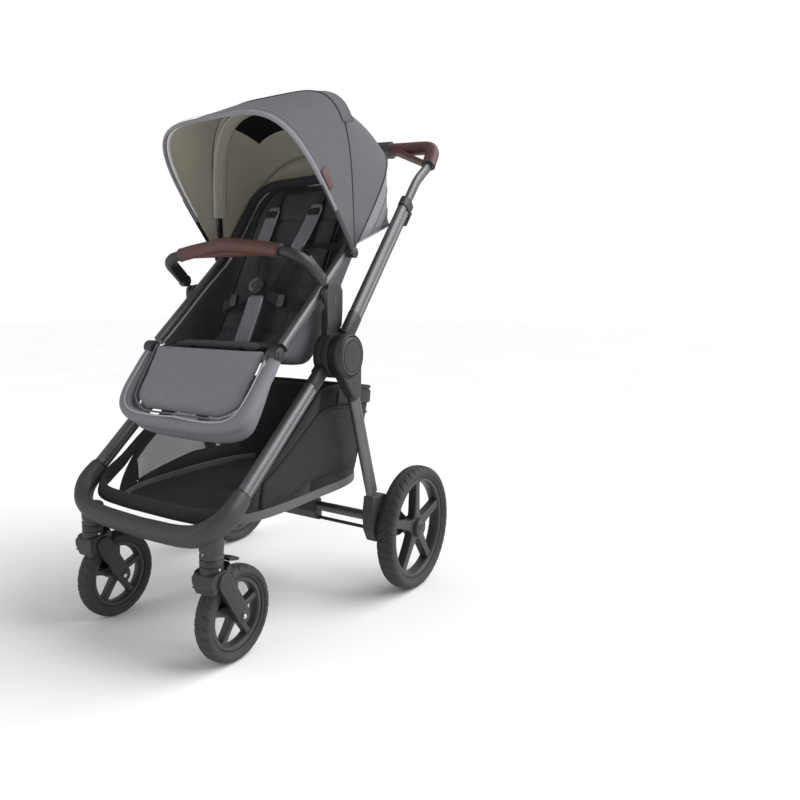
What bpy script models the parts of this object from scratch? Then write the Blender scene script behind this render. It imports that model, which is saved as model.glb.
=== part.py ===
"""Pushchair with a folding chassis, swivelling front casters, a reclining seat and a canopy.

Metres, +Z up, the stroller faces -Y. Inside this file y is counted from the front axle;
every object is moved by ORIGIN_Y as it is made, so the finished model is centred on x and y.
"""
import math

import bmesh
import bpy
from mathutils import Vector

# ---- overall layout (y, z pairs are side-view points) ----
ORIGIN_Y = 0.3271
HUB = (0.280, 0.566)
GAP = 0.0005
# ---- hub stack along x, from the inside out ----
FRONT_DISC_X = (0.1900, 0.2070)
HANDLE_DISC_X = (0.2075, 0.2235)
LEG_DISC_X = (0.2240, 0.2440)
CAP_X = (0.2445, 0.2590)
HUB_RADIUS = 0.048
CAP_RADIUS = 0.0415
HUB_PIN_RADIUS = 0.0080
HUB_BORE_RADIUS = 0.0085
NECK_START = 0.020
TUBE_START = 0.0500
# ---- front frame ----
FRONT_TUBE_X = 0.2045
FRONT_TUBE_END = (-0.009, 0.3255)
FRONT_TUBE_SIZE = (0.0240, 0.0310)
FRONT_BAR_SIZE = (0.046, 0.034)
SOCKET_RADIUS = 0.0230
SOCKET_Z = (0.2175, 0.2620)
# ---- handle ----
HANDLE_X = 0.2185
HANDLE_ANGLE = math.radians(49.4)
LOWER_TUBE_SIZE = (0.0220, 0.0380)
LOWER_TUBE_END = 0.4300
BORE_START = 0.2400
UPPER_TUBE_SIZE = (0.0155, 0.0240)
UPPER_TUBE_START = 0.3100
COLLAR_LENGTH = 0.0260
COLLAR_SIZE = (0.0245, 0.0450)
GRIP_SIZE = (0.0310, 0.0345)
HOUSING_HALF = 0.0915
# ---- rear frame ----
LEG_X = 0.2400
LEG_END = (0.3900, 0.2500)
LEG_SIZE = (0.0190, 0.0330)
AXLE_BAR = (0.400, 0.190)
AXLE_BAR_RADIUS = 0.0110
HOUSING_X = (0.2280, 0.2555)
BRAKE_ROD = (0.4080, 0.1590)
# ---- wheels ----
FRONT_AXLE = (0.0, 0.0925)
FRONT_WHEEL_X = 0.1700
FRONT_RADIUS = 0.0925
FRONT_WIDTH = 0.0370
REAR_AXLE = (0.517, 0.145)
REAR_WHEEL_X = 0.2810
REAR_RADIUS = 0.1450
REAR_WIDTH = 0.0430
SPOKES = 5
CASTER_Y = -0.0565
FORK_HALF = 0.0300
FORK_SLOT_HALF = 0.0205
FORK_TOP = 0.2170
# ---- seat ----
RECLINE = (0.284, 0.694)
SEAT_TUBE_X = 0.1780
SEAT_TUBE_SIZE = (0.0200, 0.0240)
SEAT_HUB_X = (0.1885, 0.1970)
ADAPTER_X = (0.1975, 0.2070)
SEAT_HUB_RADIUS = 0.0240
BUMPER_PIVOT = (0.2480, 0.7260)
BUMPER_X = 0.1975
BUMPER_DISC_X = (0.1890, 0.2060)
FOOT_HINGE = (0.1230, 0.5760)
CANOPY_PIVOT = (0.3710, 0.7850)
# ---- canopy: a superellipse turned about the pivot axis ----
CANOPY_POWER = 4.5
CANOPY_SHEET = 0.0025
REAR_ARCH = (0.1975, 0.3520)
FRONT_ARCH = (0.2013, 0.3575)
FRONT_BOW_ARCH = (0.2025, 0.3600)
MIDDLE_BOW_ARCH = (0.1915, 0.3400)
FRONT_EDGE_ANGLE = 131.0
MIDDLE_ANGLE = 95.0
REAR_ARCH_ANGLE = 51.0
REAR_HEM = (0.1880, 0.5480, 0.8600)
PIN_RADIUS = 0.0070
EYE_BORE = 0.0074
EYE_RADIUS = 0.0120
BOW_CLEARANCE = 0.0050
# ---- mesh density ----
ROUND = 20
OVAL = 12


# ---------------------------------------------------------------- materials
def material(name, colour, roughness, metallic=0.0):
    """A Principled material with one colour."""
    found = bpy.data.materials.get(name)
    if found:
        return found
    made = bpy.data.materials.new(name)
    made.use_nodes = True
    shader = made.node_tree.nodes["Principled BSDF"]
    shader.inputs["Base Color"].default_value = (*colour, 1.0)
    shader.inputs["Roughness"].default_value = roughness
    shader.inputs["Metallic"].default_value = metallic
    return made


def tube_metal():
    return material("satin_grey_aluminium", (0.16, 0.165, 0.175), 0.38, 0.85)


def bolt_metal():
    return material("bright_steel", (0.55, 0.56, 0.58), 0.3, 1.0)


def black_plastic():
    return material("black_plastic", (0.018, 0.019, 0.021), 0.5)


def tyre_rubber():
    return material("tyre_rubber", (0.028, 0.029, 0.031), 0.75)


def rim_plastic():
    return material("rim_plastic", (0.022, 0.023, 0.025), 0.45)


def leather():
    return material("brown_leather", (0.17, 0.06, 0.035), 0.55)


def canopy_fabric():
    return material("canopy_fabric", (0.115, 0.12, 0.135), 0.9)


def seat_fabric():
    return material("seat_fabric", (0.055, 0.057, 0.064), 0.9)


def basket_fabric():
    return material("basket_fabric", (0.022, 0.023, 0.026), 0.92)


def foot_fabric():
    return material("footrest_fabric", (0.13, 0.135, 0.15), 0.8)


def webbing():
    return material("black_webbing", (0.02, 0.02, 0.022), 0.85)


def strap_pad():
    return material("strap_pad_fabric", (0.15, 0.155, 0.165), 0.9)


# ---------------------------------------------------------------- shapes
def oval(size, count=OVAL, groove=0.0):
    """An oval (u, v) outline; a groove sinks the middle of both u faces."""
    points = []
    for i in range(count):
        angle = 2.0 * math.pi * (i + 0.5) / count
        c = math.cos(angle)
        s = math.sin(angle)
        u = 0.5 * size[0] * math.copysign(abs(c) ** 0.75, c)
        v = 0.5 * size[1] * math.copysign(abs(s) ** 0.75, s)
        if groove and abs(s) < 0.3:
            u -= math.copysign(groove, u)
        points.append((u, v))
    return points


def rectangle(size):
    """A sharp (u, v) rectangle."""
    u = 0.5 * size[0]
    v = 0.5 * size[1]
    return [(u, -v), (u, v), (-u, v), (-u, -v)]


def fillet(points, radius, steps=4):
    """Round the inner corners of a path with arcs."""
    path = [Vector(points[0])]
    for before, corner, after in zip(points, points[1:], points[2:]):
        corner = Vector(corner)
        a = Vector(before) - corner
        b = Vector(after) - corner
        reach = min(radius, 0.49 * a.length, 0.49 * b.length)
        start = corner + a.normalized() * reach
        end = corner + b.normalized() * reach
        for i in range(steps + 1):
            t = i / steps
            path.append(start * (1 - t) ** 2 + corner * (2 * t * (1 - t)) + end * t ** 2)
    path.append(Vector(points[-1]))
    return path


def mirrored(half):
    """A path from +x to the middle, continued to -x."""
    other = [Vector((-p.x, p.y, p.z)) for p in reversed(half[:-1])]
    return list(half) + other


def tangents(path):
    """The direction of a path at each of its points."""
    found = []
    last = len(path) - 1
    for i in range(len(path)):
        a = (path[i] - path[i - 1]).normalized() if i > 0 else Vector((0, 0, 0))
        b = (path[i + 1] - path[i]).normalized() if i < last else Vector((0, 0, 0))
        found.append((a + b).normalized())
    return found


def rings(bm, path, profile, side):
    """Copies of a profile along a path, u laid along side."""
    made = []
    for point, direction in zip(path, tangents(path)):
        u_axis = (side - direction * side.dot(direction)).normalized()
        v_axis = direction.cross(u_axis)
        made.append([bm.verts.new(point + u_axis * u + v_axis * v) for u, v in profile])
    return made


def skin(bm, loops, closed=False):
    """Quads between neighbouring rings."""
    pairs = list(zip(loops, loops[1:]))
    if closed:
        pairs.append((loops[-1], loops[0]))
    for one, two in pairs:
        count = len(one)
        for i in range(count):
            bm.faces.new((one[i], one[(i + 1) % count], two[(i + 1) % count], two[i]))


def sweep(path, profile, side=(1, 0, 0)):
    """A solid rod of any profile."""
    bm = bmesh.new()
    loops = rings(bm, [Vector(p) for p in path], profile, Vector(side))
    skin(bm, loops)
    bm.faces.new(loops[0])
    bm.faces.new(loops[-1])
    return bm


def sleeve(path, outer, inner, side=(1, 0, 0)):
    """A hollow rod, both profiles with the same number of points."""
    bm = bmesh.new()
    path = [Vector(p) for p in path]
    outside = rings(bm, path, outer, Vector(side))
    inside = rings(bm, path, inner, Vector(side))
    skin(bm, outside)
    skin(bm, inside)
    for a, b in ((outside[0], inside[0]), (outside[-1], inside[-1])):
        count = len(a)
        for i in range(count):
            bm.faces.new((a[i], a[(i + 1) % count], b[(i + 1) % count], b[i]))
    return bm


def lathe(profile, centre, steps=ROUND, axis="X"):
    """A closed (radius, along) outline turned about an axis; radius 0 points become poles."""
    bm = bmesh.new()
    columns = []
    for i in range(steps):
        angle = 2.0 * math.pi * i / steps
        column = []
        for radius, along in profile:
            a = radius * math.cos(angle)
            b = radius * math.sin(angle)
            if axis == "X":
                place = (along, centre[1] + a, centre[2] + b)
            else:
                place = (centre[0] + a, centre[1] + b, along)
            column.append(bm.verts.new(place))
        columns.append(column)
    count = len(profile)
    for i in range(steps):
        here = columns[i]
        there = columns[(i + 1) % steps]
        for j in range(count):
            k = (j + 1) % count
            if profile[j][0] == 0.0 and profile[k][0] == 0.0:
                continue
            bm.faces.new((here[j], here[k], there[k], there[j]))
    bmesh.ops.remove_doubles(bm, verts=bm.verts, dist=1e-7)
    return bm


def disc(side, centre, radius, span, soft=0.0015, bore=0.0, steps=ROUND):
    """A round boss along x with softened rims and, if asked, a bore."""
    lo, hi = sorted((side * span[0], side * span[1]))
    outline = [(radius - soft, lo), (radius, lo + soft), (radius, hi - soft), (radius - soft, hi)]
    outline += [(bore, hi), (bore, lo)]
    return lathe(outline, (0, centre[0], centre[1]), steps)


def bar(span, centre, radius, steps=16):
    """A plain round bar along x."""
    return lathe([(radius, span[0]), (radius, span[1]), (0, span[1]), (0, span[0])],
                 (0, centre[0], centre[1]), steps)


def post(centre, radius, span, soft=0.0015, steps=ROUND):
    """A vertical round post."""
    lo, hi = span
    outline = [(radius - soft, lo), (radius, lo + soft), (radius, hi - soft), (radius - soft, hi)]
    outline += [(0, hi), (0, lo)]
    return lathe(outline, (centre[0], centre[1], 0), steps, "Z")


def prism(outline, span, soft=0.0):
    """A (y, z) outline drawn out along x, with its two end rims softened."""
    bm = bmesh.new()
    low = [bm.verts.new((min(span), y, z)) for y, z in outline]
    high = [bm.verts.new((max(span), y, z)) for y, z in outline]
    count = len(outline)
    for i in range(count):
        bm.faces.new((low[i], low[(i + 1) % count], high[(i + 1) % count], high[i]))
    bm.faces.new(low)
    bm.faces.new(high)
    if soft:
        rims = [e for e in bm.edges if abs(e.verts[0].co.x - e.verts[1].co.x) < 1e-9]
        bmesh.ops.bevel(bm, geom=rims, offset=soft, segments=2, profile=0.5, affect="EDGES")
    return bm


def block(low, high, soft=0.0):
    """A box with softened edges."""
    outline = [(low[1], low[2]), (high[1], low[2]), (high[1], high[2]), (low[1], high[2])]
    bm = prism(outline, (low[0], high[0]))
    if soft:
        bmesh.ops.bevel(bm, geom=bm.edges[:], offset=soft, segments=2, profile=0.5, affect="EDGES")
    return bm


def thick_sheet(grid, thickness, wrap=False):
    """A grid of points made into a closed sheet; wrap joins the last column to the first
    and fills the first row as a floor."""
    rows = len(grid)
    columns = len(grid[0])
    bm = bmesh.new()
    outer = []
    inner = []
    for r in range(rows):
        line_out = []
        line_in = []
        for c in range(columns):
            down = grid[min(r + 1, rows - 1)][c] - grid[max(r - 1, 0)][c]
            if wrap:
                across = grid[r][(c + 1) % columns] - grid[r][c - 1]
            else:
                across = grid[r][min(c + 1, columns - 1)] - grid[r][max(c - 1, 0)]
            normal = down.cross(across).normalized()
            line_out.append(bm.verts.new(grid[r][c] + normal * thickness * 0.5))
            line_in.append(bm.verts.new(grid[r][c] - normal * thickness * 0.5))
        outer.append(line_out)
        inner.append(line_in)
    last = columns if wrap else columns - 1
    for r in range(rows - 1):
        for c in range(last):
            n = (c + 1) % columns
            bm.faces.new((outer[r][c], outer[r][n], outer[r + 1][n], outer[r + 1][c]))
            bm.faces.new((inner[r][c], inner[r][n], inner[r + 1][n], inner[r + 1][c]))
    for c in range(last):
        n = (c + 1) % columns
        bm.faces.new((outer[-1][c], outer[-1][n], inner[-1][n], inner[-1][c]))
        if not wrap:
            bm.faces.new((outer[0][c], outer[0][n], inner[0][n], inner[0][c]))
    if wrap:
        bm.faces.new(outer[0])
        bm.faces.new(inner[0])
    else:
        for r in range(rows - 1):
            for c in (0, columns - 1):
                bm.faces.new((outer[r][c], outer[r + 1][c], inner[r + 1][c], inner[r][c]))
    return bm


# ---------------------------------------------------------------- objects
def as_object(bm, name):
    """A mesh object from a closed bmesh, facing out."""
    bmesh.ops.recalc_face_normals(bm, faces=bm.faces)
    mesh = bpy.data.meshes.new(name)
    bm.to_mesh(mesh)
    bm.free()
    made = bpy.data.objects.new(name, mesh)
    bpy.context.scene.collection.objects.link(made)
    return made


def drop_slivers(mesh):
    """Merge points that a cut left closer together than 0.03 mm."""
    bm = bmesh.new()
    bm.from_mesh(mesh)
    bmesh.ops.remove_doubles(bm, verts=bm.verts, dist=3e-5)
    bmesh.ops.dissolve_degenerate(bm, edges=bm.edges, dist=1e-5)
    bm.to_mesh(mesh)
    bm.free()


def solid(name, parts, surface, pivot=(0, 0, 0), cuts=(), late=()):
    """One closed named body: its parts joined, its cuts taken away, its late parts joined."""
    made = as_object(parts[0], name)
    helpers = []
    for shapes, operation in ((parts[1:], "UNION"), (cuts, "DIFFERENCE"), (late, "UNION")):
        for shape in shapes:
            tool = as_object(shape, name + "_tool")
            tool.hide_render = True
            tool.display_type = "WIRE"
            helpers.append(tool)
            change = made.modifiers.new("shape", "BOOLEAN")
            change.operation = operation
            change.solver = "EXACT"
            change.object = tool
    if helpers:
        bpy.context.view_layer.update()
        graph = bpy.context.evaluated_depsgraph_get()
        mesh = bpy.data.meshes.new_from_object(made.evaluated_get(graph))
        mesh.name = name
        made.modifiers.clear()
        made.data = mesh
        for tool in helpers:
            bpy.data.objects.remove(tool)
        drop_slivers(mesh)
    made.data.materials.clear()
    made.data.materials.append(surface)
    move = Vector(pivot)
    for vertex in made.data.vertices:
        vertex.co -= move
    made.location = move + Vector((0, -ORIGIN_Y, 0))
    made.data.polygons.foreach_set("use_smooth", [True] * len(made.data.polygons))
    made.data.set_sharp_from_angle(angle=math.radians(38))
    return made


def side_name(side):
    return "left" if side > 0 else "right"


def along(angle, distance, start=HUB):
    """A side-view point at a distance from a start point."""
    return (start[0] + distance * math.cos(angle), start[1] + distance * math.sin(angle))


def angle_to(point, start=HUB):
    return math.atan2(point[1] - start[1], point[0] - start[0])


def middle(span):
    return 0.5 * (span[0] + span[1])


def hub_disc(side, span):
    return disc(side, HUB, HUB_RADIUS, span, 0.003, HUB_BORE_RADIUS)


def neck(side, span, angle, width):
    """The flat web that joins a hub disc to its tube."""
    x = side * middle(span)
    size = (span[1] - span[0] - 0.0006, width)
    a = along(angle, NECK_START)
    b = along(angle, TUBE_START + 0.012)
    return sweep([(x, *a), (x, *b)], rectangle(size))


# ---------------------------------------------------------------- front frame
def front_tube(side):
    """Tube from the front corner up to its hub disc."""
    angle = angle_to(FRONT_TUBE_END)
    x = side * FRONT_TUBE_X
    tube = sweep([(x, *FRONT_TUBE_END), (x, *along(angle, TUBE_START))],
                 oval(FRONT_TUBE_SIZE, groove=0.0009))
    bore = bar(sorted((side * 0.185, side * 0.212)), HUB, HUB_BORE_RADIUS, ROUND)
    web = neck(side, FRONT_DISC_X, angle, 0.026)
    return solid("front_tube_" + side_name(side), [tube, hub_disc(side, FRONT_DISC_X), web],
                 tube_metal(), (0, *HUB), [bore])


def front_bar():
    """Moulded cross bar with both corner pieces and the caster sockets."""
    angle = angle_to(FRONT_TUBE_END)
    top = along(angle + math.pi, -0.0004, FRONT_TUBE_END)
    low = along(angle, 0.052, FRONT_TUBE_END)
    half = [(FRONT_TUBE_X, *top), (FRONT_TUBE_X, *low), (0.168, -0.082, 0.262),
            (0.110, -0.078, 0.250), (0.0, -0.076, 0.246)]
    half = fillet(half, 0.030, 4)
    start = along(angle, 0.0005, FRONT_TUBE_END)
    half[0] = Vector((FRONT_TUBE_X, *start))
    profile = oval(FRONT_BAR_SIZE, OVAL)
    beam = sweep(mirrored(half), profile, (0, -0.55, 0.835))
    sockets = [post((side * FRONT_WHEEL_X, CASTER_Y), SOCKET_RADIUS, SOCKET_Z)
               for side in (1, -1)]
    return solid("front_bar", [beam] + sockets, black_plastic())


def hub_cap(side):
    """Outer cap with the pin that carries the three hub discs."""
    lo, hi = CAP_X
    s = side
    pin_end = FRONT_DISC_X[0] - 0.0015
    outline = [(0, s * pin_end), (HUB_PIN_RADIUS, s * pin_end), (HUB_PIN_RADIUS, s * lo),
               (CAP_RADIUS - 0.002, s * lo), (CAP_RADIUS, s * (lo + 0.002)),
               (CAP_RADIUS, s * (hi - 0.005)), (CAP_RADIUS - 0.004, s * (hi - 0.0015)),
               (CAP_RADIUS - 0.010, s * (hi - 0.0015)), (CAP_RADIUS - 0.012, s * (hi - 0.003)),
               (CAP_RADIUS - 0.014, s * (hi - 0.001)), (0.012, s * hi), (0, s * hi)]
    cap = lathe(outline, (0, *HUB), 26)
    return solid("hub_cap_" + side_name(side), [cap], black_plastic(), (0, *HUB))


def seat_mount(side):
    """Post that stands on the hub and receives the seat adapter."""
    x = sorted((side * 0.1905, side * 0.2066))
    outline = [(0.268, 0.6155), (0.312, 0.6155), (0.314, 0.628), (0.312, 0.650), (0.270, 0.650),
               (0.265, 0.630)]
    return solid("seat_mount_" + side_name(side), [prism(outline, x, 0.002)], black_plastic())


def seat_adapter(side):
    """Housing between the mount post and the recline hub, with a pocket for its button."""
    x = sorted((side * ADAPTER_X[0], side * ADAPTER_X[1]))
    outline = [(0.270, 0.6505), (0.312, 0.6505), (0.318, 0.675), (0.314, 0.704), (0.298, 0.716),
               (0.276, 0.716), (0.260, 0.700), (0.262, 0.675)]
    pocket = sweep([(side * 0.2015, 0.290, 0.678), (side * 0.212, 0.290, 0.678)],
                   oval((0.0170, 0.0230), 20), (0, 0, 1))
    return solid("seat_adapter_" + side_name(side), [prism(outline, x, 0.002)],
                 black_plastic(), (0, *RECLINE), [pocket])


def release_button(side):
    """Oval button on the outer face of a seat adapter."""
    button = sweep([(side * 0.2048, 0.290, 0.678), (side * 0.2072, 0.290, 0.678)],
                   oval((0.0160, 0.0220), 20), (0, 0, 1))
    return solid("release_button_" + side_name(side), [button], rim_plastic(),
                 (side * 0.2060, 0.290, 0.678))


def basket_rows():
    """Rings of points from the basket floor to its rim."""
    count = 36
    rows = []
    for level in (0.25, 0.75, 0.96, 1.0, 1.35, 1.7, 2.0):
        ring = []
        for i in range(count):
            angle = 2.0 * math.pi * i / count
            c = math.cos(angle)
            s = math.sin(angle)
            x = math.copysign(abs(c) ** 0.42, c)
            y = math.copysign(abs(s) ** 0.42, s)
            scale = min(level, 1.0)
            rise = max(level - 1.0, 0.0)
            half = 0.186 * scale + 0.010 * rise
            front = -0.010 - 0.006 * rise
            rear = 0.478 + 0.068 * rise
            centre = 0.5 * (front + rear)
            place = centre + y * scale * 0.5 * (rear - front)
            slope = 0.274 + 0.86 * (place + 0.004)
            falling = 0.497 - 0.125 * (place - 0.30)
            top = max(0.2735, min(slope, 0.497, falling))
            floor = 0.2585 + 0.0035 * max(scale - 0.9, 0.0) * 10.0
            ring.append(Vector((x * half, place, floor + (top - floor) * rise)))
        rows.append(ring)
    return rows


def basket():
    """Fabric tub slung under the frame, open at the top."""
    return solid("basket", [thick_sheet(basket_rows(), 0.003, True)], basket_fabric())


# ---------------------------------------------------------------- handle frame
def handle_point(distance, x=HANDLE_X):
    return (x, *along(HANDLE_ANGLE, distance))


def handle_tube(side):
    """Lower handle tube, bored so that the upper tube slides in it."""
    x = side * HANDLE_X
    tube = sweep([handle_point(TUBE_START, x), handle_point(LOWER_TUBE_END, x)],
                 oval(LOWER_TUBE_SIZE, groove=0.0009))
    web = neck(side, HANDLE_DISC_X, HANDLE_ANGLE, 0.030)
    bore = bar(sorted((side * 0.203, side * 0.2238)), HUB, HUB_BORE_RADIUS, ROUND)
    slot_size = (UPPER_TUBE_SIZE[0] + 0.0010, UPPER_TUBE_SIZE[1] + 0.0010)
    slot = sweep([handle_point(BORE_START, x), handle_point(LOWER_TUBE_END + 0.01, x)],
                 oval(slot_size))
    return solid("handle_tube_" + side_name(side), [tube, hub_disc(side, HANDLE_DISC_X), web],
                 tube_metal(), (0, *HUB), [bore, slot])


def handle_collar(side):
    """Clamp collar at the top of the lower tube."""
    x = side * (HANDLE_X + 0.0013)
    start = LOWER_TUBE_END + GAP
    collar = sweep([handle_point(start, x), handle_point(start + COLLAR_LENGTH, x)],
                   oval(COLLAR_SIZE))
    slot_size = (UPPER_TUBE_SIZE[0] + 0.0010, UPPER_TUBE_SIZE[1] + 0.0010)
    slot = sweep([handle_point(start - 0.01, side * HANDLE_X),
                  handle_point(start + COLLAR_LENGTH + 0.01, side * HANDLE_X)], oval(slot_size))
    return solid("handle_collar_" + side_name(side), [collar], black_plastic(), (0, *HUB), [slot])


def lever_pivot():
    under = HANDLE_ANGLE - math.pi / 2
    return along(under, 0.0265, along(HANDLE_ANGLE, LOWER_TUBE_END + 0.016))


def clamp_lever(side):
    """Small lever under the collar that frees the telescoping tube."""
    start = lever_pivot()
    end = along(HANDLE_ANGLE + math.pi, 0.040, start)
    x = side * HANDLE_X
    lever = sweep([(x, *start), (x, *end)], oval((0.0150, 0.0055), 12))
    return solid("clamp_lever_" + side_name(side), [lever], black_plastic(), (x, *start))


BEND = (HANDLE_X, 0.684, 1.010)
CORNER = (HANDLE_X - 0.003, 0.726, 1.064)
BAR_MIDDLE = Vector((0, 0.733, 1.078))


def handle_half():
    """Half of the handle path: straight shank, backward bend, corner, cross bar."""
    first = fillet([handle_point(UPPER_TUBE_START), handle_point(0.530), BEND], 0.02, 4)
    second = fillet([BEND, CORNER, BAR_MIDDLE], 0.050, 6)
    return first[:-1] + second


def grip_path():
    """The part of the handle path that the leather covers."""
    start = Vector(BEND).lerp(Vector(CORNER), 0.06)
    corner = fillet([BEND, CORNER, BAR_MIDDLE], 0.050, 6)[1:-1]
    last = corner[-1]
    share = (last.x - HOUSING_HALF - GAP) / last.x
    return [start] + corner + [last.lerp(BAR_MIDDLE, share)]


HANDLE_NORMAL = Vector((0, -math.sin(HANDLE_ANGLE), math.cos(HANDLE_ANGLE)))


def handle_bar():
    """Upper telescoping tubes and cross bar in one piece."""
    size = (UPPER_TUBE_SIZE[1], UPPER_TUBE_SIZE[0])
    return solid("handle_bar", [sweep(mirrored(handle_half()), oval(size), HANDLE_NORMAL)],
                 tube_metal(), (0, *HUB))


def grip(side):
    """Leather sleeve round one corner of the handle."""
    path = [Vector((side * p.x, p.y, p.z)) for p in grip_path()]
    inner = oval((UPPER_TUBE_SIZE[1] + 0.0008, UPPER_TUBE_SIZE[0] + 0.0008))
    return solid("grip_" + side_name(side), [sleeve(path, oval(GRIP_SIZE), inner, HANDLE_NORMAL)],
                 leather(), (0, *HUB))


def fold_housing():
    """Housing at the middle of the cross bar, with a well for the fold button."""
    last = grip_path()[-2]
    edge = last.lerp(BAR_MIDDLE, (last.x - HOUSING_HALF) / last.x)
    path = [edge, BAR_MIDDLE]
    inner = oval((UPPER_TUBE_SIZE[1] + 0.0008, UPPER_TUBE_SIZE[0] + 0.0008))
    shell = sleeve(mirrored(path), oval((0.0460, 0.0340)), inner, HANDLE_NORMAL)
    well = sweep([BAR_MIDDLE + HANDLE_NORMAL * 0.0165, BAR_MIDDLE + HANDLE_NORMAL * 0.0300],
                 oval((0.0520, 0.0160), 20), (1, 0, 0))
    return solid("fold_housing", [shell], black_plastic(), (0, *HUB), [well])


def fold_button():
    """Long button pressed to free the frame for folding."""
    button = sweep([BAR_MIDDLE + HANDLE_NORMAL * 0.0200, BAR_MIDDLE + HANDLE_NORMAL * 0.0245],
                   oval((0.0508, 0.0148), 20), (1, 0, 0))
    return solid("fold_button", [button], rim_plastic(), BAR_MIDDLE)


# ---------------------------------------------------------------- rear frame
def rear_leg(side):
    """Tube from the outer hub disc down to the wheel housing."""
    angle = angle_to(LEG_END)
    x = side * LEG_X
    tube = sweep([(x, *along(angle, TUBE_START)), (x, *LEG_END)], oval(LEG_SIZE, groove=0.0009))
    web = neck(side, LEG_DISC_X, angle, 0.027)
    bore = bar(sorted((side * 0.2235, side * 0.2443)), HUB, HUB_BORE_RADIUS, ROUND)
    return solid("rear_leg_" + side_name(side), [tube, hub_disc(side, LEG_DISC_X), web],
                 tube_metal(), (0, *HUB), [bore])


def wheel_housing(side):
    """Moulded arm from the foot of the leg back to the stub axle."""
    x = sorted((side * HOUSING_X[0], side * HOUSING_X[1]))
    outline = [(0.374, 0.243), (0.370, 0.205), (0.372, 0.165), (0.388, 0.138), (0.420, 0.130),
               (0.500, 0.124), (0.522, 0.127), (0.534, 0.142), (0.531, 0.160), (0.512, 0.172),
               (0.470, 0.205), (0.448, 0.230), (0.425, 0.241)]
    stub = bar(sorted((side * (HOUSING_X[1] - 0.002), side * 0.3035)), REAR_AXLE, 0.0060)
    top = [(y, min(z, 0.2432)) for y, z in outline]
    return solid("wheel_housing_" + side_name(side), [prism(top, x, 0.003), stub],
                 black_plastic(), (0, *HUB))


def rear_axle_bar():
    """Cross tube between the two wheel housings."""
    end = HOUSING_X[0] - GAP
    return solid("rear_axle_bar", [bar((-end, end), AXLE_BAR, AXLE_BAR_RADIUS, 20)],
                 tube_metal(), (0, *HUB))


def brake_unit():
    """Ribbed housing clamped round the axle bar, with the rod that runs out to both wheels."""
    half = 0.085
    outline = [(0.384, 0.178), (0.386, 0.205), (0.400, 0.2095), (0.414, 0.205), (0.4175, 0.178),
               (0.4165, 0.158), (0.410, 0.152), (0.398, 0.156), (0.390, 0.168)]
    shell = prism(outline, (-half, half), 0.002)
    end = HOUSING_X[0] - GAP
    rod = bar((-end, end), BRAKE_ROD, 0.0040, 10)
    cuts = [bar((-0.11, 0.11), AXLE_BAR, AXLE_BAR_RADIUS + 0.0005, 20)]
    for i in range(-4, 5):
        x = 0.017 * i
        cuts.append(block((x - 0.0015, 0.380, 0.2075), (x + 0.0015, 0.420, 0.2120)))
    return solid("brake_unit", [shell, rod], black_plastic(), (0, *HUB), cuts)


PEDAL_PIVOT = (0.4225, 0.1850)


def brake_pedal():
    """Foot pedal behind the brake housing."""
    outline = [(0.4185, 0.190), (0.4185, 0.180), (0.424, 0.176), (0.452, 0.168), (0.458, 0.171),
               (0.458, 0.175), (0.430, 0.188), (0.424, 0.1915)]
    return solid("brake_pedal", [prism(outline, (-0.070, 0.070), 0.0015)], black_plastic(),
                 (0, *PEDAL_PIVOT))


# ---------------------------------------------------------------- wheels
def tyre_outline(x, radius, width, inner):
    """Round-shouldered tyre section."""
    h = 0.5 * width
    return [(inner, x - 0.36 * width), (inner, x + 0.36 * width), (radius - 0.014, x + h),
            (radius - 0.006, x + 0.90 * h), (radius - 0.0015, x + 0.55 * h), (radius, x),
            (radius - 0.0015, x - 0.55 * h), (radius - 0.006, x - 0.90 * h),
            (radius - 0.014, x - h)]


def tyre(name, x, centre, radius, width, inner):
    return solid(name, [lathe(tyre_outline(x, radius, width, inner), (0, *centre), 32)],
                 tyre_rubber(), (x, *centre))


def rim(name, x, centre, outer, depth, hub_radius, bore, hub_width, spoke):
    """Rim ring, hub and thick spokes; spoke gives their half width at the hub and the ring."""
    h = 0.5 * depth
    ring = lathe([(outer - 0.009, x - h), (outer, x - h), (outer, x + h), (outer - 0.009, x + h),
                  (outer - 0.011, x)], (0, *centre), 32)
    w = 0.5 * hub_width
    hub = lathe([(bore, x - w), (hub_radius - 0.002, x - w), (hub_radius, x - w + 0.002),
                 (hub_radius, x + w - 0.002), (hub_radius - 0.002, x + w), (bore, x + w)],
                (0, *centre), 18)
    parts = [ring, hub]
    for i in range(SPOKES):
        turn = 2.0 * math.pi * i / SPOKES + math.pi / 2
        outline = []
        for radius, half in ((hub_radius - 0.004, spoke[0]), (outer - 0.006, spoke[1])):
            point = along(turn, radius, centre)
            across = (-half * math.sin(turn), half * math.cos(turn))
            pair = [(point[0] - across[0], point[1] - across[1]),
                    (point[0] + across[0], point[1] + across[1])]
            outline += pair if not outline else pair[::-1]
        parts.append(prism(outline, (x - 0.31 * depth, x + 0.31 * depth)))
    return solid(name, parts, rim_plastic(), (x, *centre))


def front_wheel(side):
    x = side * FRONT_WHEEL_X
    tyre("front_tyre_" + side_name(side), x, FRONT_AXLE, FRONT_RADIUS, FRONT_WIDTH, 0.0700)
    rim("front_rim_" + side_name(side), x, FRONT_AXLE, 0.0695, 0.024, 0.0150, 0.0058, 0.036,
        (0.0065, 0.0055))


def rear_wheel(side):
    x = side * REAR_WHEEL_X
    tyre("rear_tyre_" + side_name(side), x, REAR_AXLE, REAR_RADIUS, REAR_WIDTH, 0.1180)
    rim("rear_rim_" + side_name(side), x, REAR_AXLE, 0.1175, 0.028, 0.0230, 0.0066, 0.041,
        (0.0125, 0.0080))


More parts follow.
